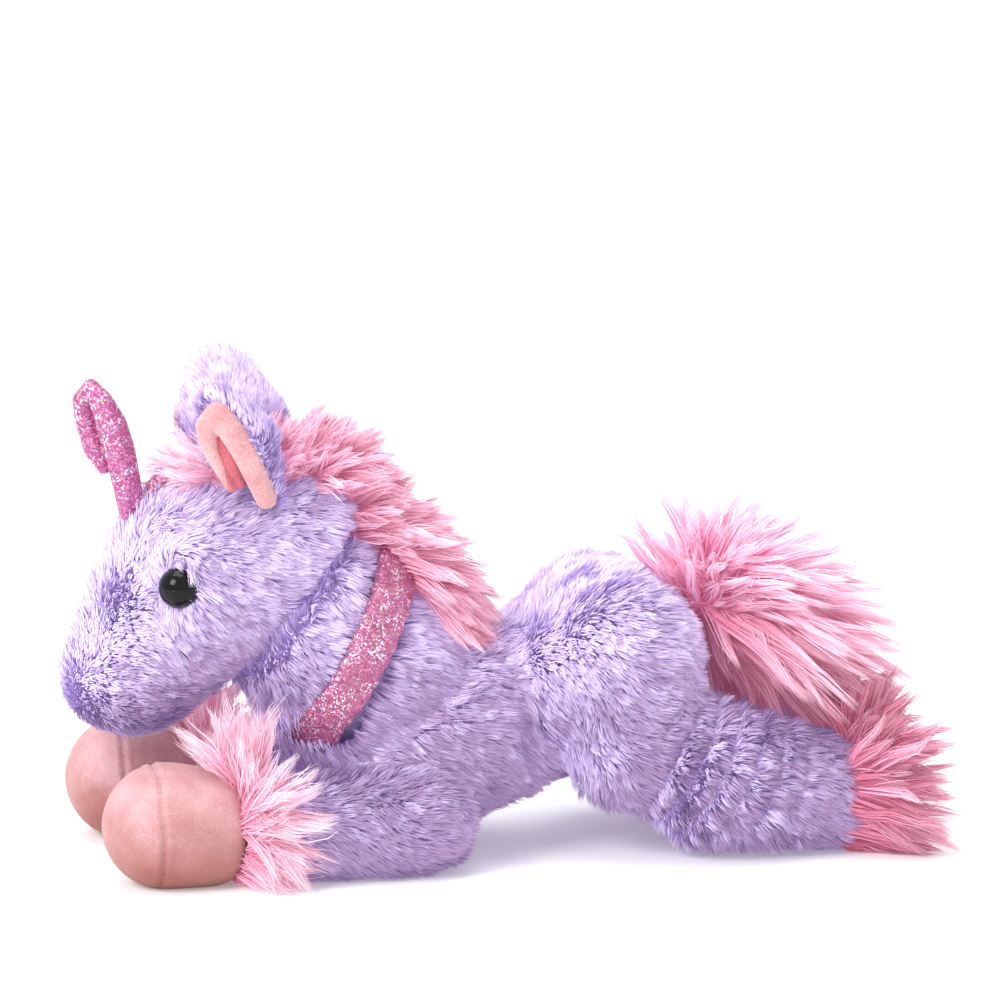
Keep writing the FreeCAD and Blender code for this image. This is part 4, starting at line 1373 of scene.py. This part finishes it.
@dataclass
class Ear:
    """An ear: a furred cup and its velour lining, folded lengthwise. Lengths in millimetres.

    Attributes:
        side: The ear's side.
        root: The ear's root on the right side.
        broad: What the right ear's shape is multiplied by.
        outer: The lining's thick rim.
        inner: Its thin rim.
        floor: The crease between them.
        floor_reach: How near to the crease's line the cloth gets the painted shade.
    """

    side: Side
    root: tuple[float, float, float] = (-82.5, 20.3, 128.0)
    broad: tuple[float, float, float] = (1.66, 1.05, 0.94)
    outer: tuple[Ball, ...] = (
        (-86.4, -27.0, 126.5, 3.6), (-90.0, -30.0, 135.0, 4.3), (-94.5, -32.5, 144.0, 4.5),
        (-99.5, -33.2, 151.5, 4.4), (-103.6, -32.5, 156.4, 4.5),
    )
    inner: tuple[Ball, ...] = (
        (-103.6, -32.5, 156.4, 4.5), (-107.0, -30.5, 152.3, 3.7), (-105.8, -28.2, 145.0, 2.8),
        (-101.6, -25.5, 137.0, 2.2), (-97.5, -23.0, 130.0, 1.8),
    )
    floor: tuple[Ball, ...] = (
        (-94.5, -21.5, 131.5, 2.6), (-98.5, -23.5, 141.0, 4.8), (-102.0, -25.5, 149.0, 4.0),
    )
    floor_reach: float = 5.5

    def lining(self) -> bpy.types.Object:
        """The velour: a thick rim, a thinner one, and the deep crease between them, painted in shade."""
        if self.side is Side.RIGHT:
            piece = padded_form("ear_lining_right", "ear_lining_cloth_right", voxel=0.8, swell=0.2, smooth=2)
            dress(piece, EAR_VELOUR)
            return self.spread(piece)
        piece = rounded_chain("ear_lining_cloth_left", [self.outer, self.inner, self.floor], voxel=0.6, smooth=2)
        bottom = np.array([ball[:3] for ball in self.floor]) * MM
        centres = np.array([face.center for face in piece.data.polygons])
        # Painted shade: faces near the crease get the darker copy of the velour.
        deep = gap_to_line(centres, bottom) < self.floor_reach * MM
        dress(piece, EAR_VELOUR)
        piece.data.materials.append(material_of(EAR_CREASE_SHADE_VELOUR))
        piece.data.polygons.foreach_set("material_index", deep.astype(np.int32))
        return piece

    def spread(self, piece: bpy.types.Object) -> bpy.types.Object:
        """Makes a right ear's piece broader and lower about its root."""
        if self.side is Side.RIGHT:
            root = place(*self.root)
            move_points(piece, root + (points_of(piece) - root) * np.array(self.broad))
        return piece

    def build(self) -> None:
        """Builds the cup, its lining and its fur."""
        tag, body, fur = self.side.tag, f"ear_{self.side.tag}", EAR_FUR[self.side]
        shell = padded_form(f"ear_shell_{tag}", f"ear_shell_skin_{tag}", voxel=1.0, swell=-0.6, smooth=2)
        shell = self.spread(shell)
        dress(shell, LAVENDER_BACKING)
        lining = self.lining()
        opens = unit(points_of(lining).mean(axis=0) - points_of(shell).mean(axis=0))
        below = place(self.root[0] - 4, self.root[1] * self.side.value, self.root[2] - 6)

        def furred(faces: np.ndarray) -> np.ndarray:
            return (faces[:, 3:] @ opens < fur.rim).astype(float)

        def flow(points: np.ndarray) -> np.ndarray:
            return unit(points - below)

        pelt = Pelt(
            f"ear_pelt_{tag}", flow, Pile(length=fur.length, lift=54.0, tuft=3.0), seed=31 + self.side.value,
            tone_at=even(fur.bright), fall=0.0,
        ).over(shell, fur.count, furred)
        for piece in (shell, lining, pelt):
            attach(piece, body)
        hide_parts(f"ear_shell_{tag}")
        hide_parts(f"ear_lining_{tag}")
        log.info("ear %s", tag)


@dataclass
class Horn:
    """The soft glitter horn: a padded leaf folded over lengthwise into two lobes.

    Attributes:
        shaft: The near lobe and the stem, as balls (x, y, z, radius) in millimetres.
        lobe: The far lobe.
        web: The cloth between them.
    """

    shaft: tuple[Ball, ...] = (
        (-127.0, -1.5, 118.5, 4.2), (-128.6, -3.2, 125.7, 4.8), (-131.0, -4.4, 138.6, 5.1),
        (-133.8, -4.6, 148.6, 4.9), (-137.5, -3.2, 156.8, 4.0), (-140.6, 0.0, 161.0, 3.1),
    )
    lobe: tuple[Ball, ...] = (
        (-140.6, 0.0, 161.0, 3.1), (-142.4, 4.0, 156.0, 3.5), (-140.4, 6.4, 147.0, 4.2), (-137.4, 6.6, 138.5, 4.0),
        (-135.0, 6.0, 133.6, 3.0),
    )
    web: tuple[Ball, ...] = (
        (-137.6, 2.0, 157.0, 2.0), (-135.4, 2.2, 148.0, 2.3), (-132.6, 2.2, 138.5, 2.2), (-131.2, 1.6, 132.0, 2.0),
    )

    def build(self) -> None:
        """Builds the horn's cloth."""
        cloth = rounded_chain("horn_cloth", [self.shaft, self.lobe, self.web], voxel=0.55, smooth=1)
        lump(cloth, SmoothNoise(seed=66), feature=6.0, depth=0.3)
        dress(cloth, HORN_GLITTER)
        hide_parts("horn_cover", "horn_stuffing")
        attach(cloth, "horn")
        log.info("horn")


@dataclass
class Mane:
    """The mane in three pieces, on the poll, the neck and the withers.

    Attributes:
        half_width: Half of the width of the strip that it grows from, in millimetres.
    """

    half_width: float = 12.0

    def build(self) -> None:
        """Builds the three pieces."""
        poll = crest_guide(
            crest=((-97, 129), (-84, 131.5), (-70, 131), (-58, 125)), angles=(110, 76, 54, 36),
            lengths=(16, 25, 31, 33), half_width=self.half_width,
        )
        poll_mane = Tress("poll_mane_locks", "mane_poll", count=330, strands=50, guide=poll, seed=21).build()
        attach(poll_mane, "head")
        neck = crest_guide(
            crest=((-57, 118), (-47, 108), (-36, 97), (-27, 88)), angles=(38, 24, 0, -34),
            lengths=(31, 33, 33, 28), half_width=self.half_width,
        )
        neck_mane = Tress(
            "neck_mane_locks", "mane_neck", count=360, strands=50, guide=neck, seed=42, belly=1.5
        ).build()
        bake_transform(neck_mane)
        withers = crest_guide(
            crest=((-26, 84), (-18, 77), (-10, 74)), angles=(-8, -12, -5), lengths=(20, 17, 12),
            half_width=self.half_width - 1,
        )
        withers_mane = Tress(
            "withers_mane_locks", "mane_withers", count=110, strands=42, guide=withers, seed=52, droop=0.12
        ).build()
        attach(withers_mane, "trunk")


@dataclass
class Collar:
    """The padded glitter strap round the neck, puckered at its stitched edges. Lengths in millimetres.

    Attributes:
        axis: The way along the neck.
        centre: The strap's middle.
        half: Half of the strap's width.
        puckers: How many puckers go round.
        pucker_height: How high they stand at the edges.
        crown: How far the padding stands out in the middle.
        swing: How far the strap strays along the neck.
    """

    axis: tuple[float, float, float] = (-0.894, 0.0, 0.448)
    centre: tuple[float, float, float] = (-57.0, 0.0, 68.5)
    half: float = 7.2
    puckers: int = 38
    pucker_height: float = 0.28
    crown: float = 1.0
    swing: float = 1.1

    def build(self) -> None:
        """Builds the strap."""
        band = padded_form("collar", "collar_cloth", voxel=1.1, swell=0.35, smooth=2)
        apply_modifier(band, "SUBSURF", levels=1, render_levels=1)
        points, normals = points_of(band), normals_of(band)
        axis, centre = np.array(self.axis), place(*self.centre)
        front = np.array([self.axis[2], 0, -self.axis[0]])
        across = (points - centre) @ axis / (self.half * MM)
        angle = np.arctan2(points[:, 1], (points - centre) @ front)
        edge = ease(np.abs(across), 0.45, 0.55)
        wobble = SmoothNoise(seed=43).at(points, 12 * MM)
        pucker = np.sin(angle * self.puckers + wobble[:, 0] * 3.5) * edge * self.pucker_height
        crown = (1 - across**2) * self.crown
        swing = np.sin(angle * 2.0) * self.swing + wobble[:, 1] * 0.8
        offset = normals * (pucker + crown + wobble[:, 2] * 0.5)[:, None] + axis * swing[:, None]
        move_points(band, points + offset * MM)
        dress(band, COLLAR_GLITTER)
        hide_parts("collar")
        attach(band, "neck")
        log.info("collar")


def ring_guide(
    centre: tuple[float, float, float], radius: float, along: float, ragged: float, back: float, lean: float,
    up: float, outward: float, lengths: tuple[float, float],
) -> Guide:
    """Locks that grow in a ring round a leg.

    Args:
        centre: The ring's middle, in millimetres.
        radius: The ring's radius, in millimetres.
        along: Half of the ring's width along the leg, in millimetres.
        ragged: The spread of the locks' directions, in degrees.
        back: How strongly a lock on the side lies back along the leg.
        lean: How strongly a lock on the top leans forward.
        up: How strongly a lock on the top stands up.
        outward: How strongly each stands out from the leg.
        lengths: The length on the sides and on the top, in millimetres.

    Returns:
        The guide.
    """

    def draw(rng: np.random.Generator, count: int) -> tuple[np.ndarray, np.ndarray, np.ndarray]:
        turn = rng.uniform(-math.pi, math.pi, count)
        radial = np.stack([np.zeros(count), np.sin(turn), np.cos(turn)], axis=1)
        roots = np.array(centre) + radial * radius
        roots[:, 0] += rng.uniform(-along, along, count)
        top = np.clip(np.cos(turn), 0, 1)[:, None] ** 1.5
        stray = rng.normal(0, 0.25, (count, 1)) * (0.6 + top * 1.2)
        lie = BACK * (back * (1 - top) - lean * top + stray) + UP * up * top + radial * outward
        lie = lie + rng.normal(0, math.radians(ragged), (count, 3))
        under = np.clip(-np.cos(turn), 0, 1)
        size = lengths[0] + (lengths[1] - lengths[0]) * top[:, 0]
        length = size * rng.uniform(0.6, 1.1, count) * (1 - 0.35 * under)
        return roots * MM, unit(lie), length * MM

    return draw


@dataclass
class ForeHoof:
    """A velour fore hoof with its middle seam, and the fringe that stands up round its top. Lengths in millimetres.

    Attributes:
        side: The hoof's side.
        spread: How far the leg lies from the middle plane.
        middle: The seam's X.
        mouth: The X where the hoof meets the leg.
        height: The height of the hoof's middle.
    """

    side: Side
    spread: float = 37.5
    middle: float = -126.5
    mouth: float = -98.5
    height: float = 18.5

    def seam(self, hoof: bpy.types.Object) -> None:
        """Presses the middle seam in, with small puckers along it."""
        points, normals = points_of(hoof), normals_of(hoof)
        wobble = SmoothNoise(seed=71).at(points, 10 * MM)[:, 0]
        off = (points[:, 0] - self.middle * MM) / MM + wobble * 0.7
        groove = 0.3 * bell(np.abs(off) - 2.0, 1.0) - 0.75 * bell(off, 0.9)
        around = np.arctan2(points[:, 2] - self.height * MM, np.abs(points[:, 1]) - self.spread * MM)
        pucker = np.sin(around * 44) * bell(off, 2.4) * 0.13
        off_floor = ease(points[:, 2], 0, 3 * MM)
        move_points(hoof, points + normals * ((groove + pucker) * off_floor)[:, None] * MM)

    def build(self) -> None:
        """Builds the hoof and its fringe."""
        tag, body = self.side.tag, f"foreleg_{self.side.tag}"
        hoof = padded_form(f"fore_hoof_stuffing_{tag}", f"fore_hoof_cloth_{tag}", voxel=2.2, swell=1.6, smooth=3)
        puff(hoof, cap=1.0)
        apply_modifier(hoof, "SUBSURF", levels=2, render_levels=2)
        self.seam(hoof)
        dress(hoof, HOOF_VELOUR)
        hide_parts(f"fore_hoof_cover_{tag}", f"fore_hoof_stuffing_{tag}")
        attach(hoof, body)
        ring = ring_guide(
            (self.mouth + 2, self.spread * self.side.value, 17.0), radius=16.6, along=4.0, ragged=17, back=0.9,
            lean=0.3, up=1.0, outward=0.42, lengths=(27, 35),
        )
        fringe = Tress(
            f"fore_fringe_locks_{tag}", f"fore_fringe_{tag}", count=250, strands=32, guide=ring,
            seed=72 + self.side.value, droop=0.16, wave=1.3, width=0.4, belly=1.1, fray=0.9, uneven=0.45,
            finish=PALE_PINK,
        ).build()
        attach(fringe, body)


@dataclass
class HindHoof:
    """A velour hind hoof, hidden in the long fringe that points back. Lengths in millimetres.

    Attributes:
        side: The hoof's side.
        spread: How far the leg lies from the middle plane.
        mouth: The X where the hoof meets the leg.
    """

    side: Side
    spread: float = 29.5
    mouth: float = 114.5

    def build(self) -> None:
        """Builds the hoof and its fringe."""
        tag, body = self.side.tag, f"shank_{self.side.tag}"
        hoof = padded_form(f"hind_hoof_stuffing_{tag}", f"hind_hoof_cloth_{tag}", voxel=2.4, swell=1.2, smooth=2)
        apply_modifier(hoof, "SUBSURF", levels=1, render_levels=1)
        dress(hoof, HOOF_VELOUR)
        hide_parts(f"hind_hoof_cover_{tag}", f"hind_hoof_stuffing_{tag}")
        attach(hoof, body)
        ring = ring_guide(
            (self.mouth - 3, self.spread * self.side.value, 18.6), radius=17.2, along=5.0, ragged=14, back=1.6,
            lean=-0.55, up=0.85, outward=0.42, lengths=(36, 32),
        )
        # The hind fringe's tone is lowered all over: painted shade, low at the back of the body.
        fringe = Tress(
            f"hind_fringe_locks_{tag}", f"hind_fringe_{tag}", count=290, strands=44, guide=ring,
            seed=102 + self.side.value, droop=0.14, wave=1.1, belly=1.3, tone_at=even(-0.4),
        ).build()
        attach(fringe, body)


@dataclass
class Tail:
    """The tail: a full fan of long pile round a sewn core. Lengths in millimetres, angles in degrees.

    Attributes:
        count: How many locks.
        strands: How many strands a lock has.
        angles: Angles above +X from the lowest lock to the highest, with as many locks between each two.
        lengths: The longest lock at each of those angles.
    """

    count: int = 560
    strands: int = 38
    angles: tuple[float, ...] = (-84, -60, -42, -28, -16, -2, 16, 38, 78, 120)
    lengths: tuple[float, ...] = (32, 46, 62, 78, 70, 58, 51, 45, 40, 34)

    def guide(self, rng: np.random.Generator, count: int) -> tuple[np.ndarray, np.ndarray, np.ndarray]:
        """Roots in a small patch at the top of the rump, directions all over the fan."""
        angle = np.interp(rng.random(count), np.linspace(0, 1, len(self.angles)), self.angles)
        sideways = rng.uniform(-66, 66, count)
        reach = np.interp(angle, self.angles, self.lengths) * (1.04 - 0.5 * rng.random(count) ** 1.7)
        length = np.minimum(reach, 80 - 0.4 * np.abs(sideways))
        patch = ((69, 4), (0, 5), (81, 3.5))
        roots = np.stack([rng.normal(middle, spread, count) for middle, spread in patch], axis=1)
        direction = fan(angle + rng.normal(0, 6, count) + 8, sideways)
        return roots * MM + direction * 3 * MM, direction, length * MM

    def tone_at(self, points: np.ndarray) -> np.ndarray:
        """Painted light on the top of the fan and painted shade below its root."""
        return np.clip((points[:, 2] - 78 * MM) / (40 * MM), -0.45, 0.6)

    def build(self) -> None:
        """Builds the core and the hair."""
        core = padded_form("tail_core", "tail_core_cloth", voxel=0.9, swell=0.0, smooth=1)
        dress(core, PINK_BACKING)
        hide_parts("tail_core")
        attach(core, "tail")
        hair = Tress(
            "tail_locks", "tail_hair", self.count, self.strands, self.guide, seed=111, droop=0.15, wave=1.5,
            belly=1.1, root_spread=1.1, fray=0.7, uneven=0.22, width=0.6, tone_at=self.tone_at,
        ).build()
        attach(hair, "tail")


@dataclass
class Studio:
    """Pale floor, soft lights and the camera. Angles in degrees, lengths in metres but the lens in millimetres.

    Attributes:
        azimuth: The camera's angle round the object.
        elevation: Its angle above the floor.
        distance: How far it stands from its target.
        target: The point that it looks at.
        lens: Its lens.
        lit: The point that the lights look at.
    """

    azimuth: float = -12.0
    elevation: float = 11.0
    distance: float = 3.0
    target: tuple[float, float, float] = (-0.0017, 0.0, 0.1175)
    lens: float = 322.0
    lit: tuple[float, float, float] = (0.0, 0.0, 0.08)

    def build(self) -> None:
        """Builds the stage, the lights and the camera."""
        bpy.ops.mesh.primitive_plane_add(size=12)
        floor = bpy.context.active_object
        floor.name = "floor"
        tree = NodeTree("pale_floor")
        tree.set(Base_Color=(0.84, 0.84, 0.85, 1), Roughness=0.9)
        tree.set(Emission_Color=(0.97, 0.99, 1.0, 1), Emission_Strength=0.2)
        floor.data.materials.append(tree.material)
        world = bpy.data.worlds.new("studio")
        bpy.context.scene.world = world
        world.use_nodes = True
        background = world.node_tree.nodes["Background"].inputs
        background["Color"].default_value = (0.98, 0.985, 1.0, 1)
        background["Strength"].default_value = 0.92
        self.light("key", at=(-1.1, -0.7, 1.0), size=0.7, power=15.0)
        self.light("top", at=(-0.1, 0.1, 1.3), size=0.9, power=10.0)
        self.camera()
        bpy.context.scene.view_settings.view_transform = "Standard"

    def light(self, name: str, at: tuple[float, float, float], size: float, power: float) -> None:
        """Adds a square soft light aimed at the object."""
        data = bpy.data.lights.new(name, "AREA")
        data.size, data.energy = size, power
        obj = linked(name, data)
        obj.location = at
        obj.rotation_euler = (Vector(self.lit) - Vector(at)).to_track_quat("-Z", "Y").to_euler()

    def camera(self) -> None:
        """Adds the camera."""
        turn, rise = math.radians(self.azimuth), math.radians(self.elevation)
        back = Vector((math.sin(turn) * math.cos(rise), -math.cos(turn) * math.cos(rise), math.sin(rise)))
        data = bpy.data.cameras.new("camera")
        data.lens = self.lens
        data.sensor_width = 36
        obj = linked("camera", data)
        obj.location = Vector(self.target) + back * self.distance
        obj.rotation_euler = (-back).to_track_quat("-Z", "Y").to_euler()
        bpy.context.scene.camera = obj


def main() -> None:
    """Builds every sub-assembly in order."""
    logging.basicConfig(level=logging.INFO, format="%(message)s")
    Studio().build()
    Skins().build()
    Coat().build()
    Head().build()
    Horn().build()
    Mane().build()
    Collar().build()
    for side in Side:
        Ear(side).build()
        ForeHoof(side).build()
        HindHoof(side).build()
    Tail().build()


if __name__ == "__main__":
    main()
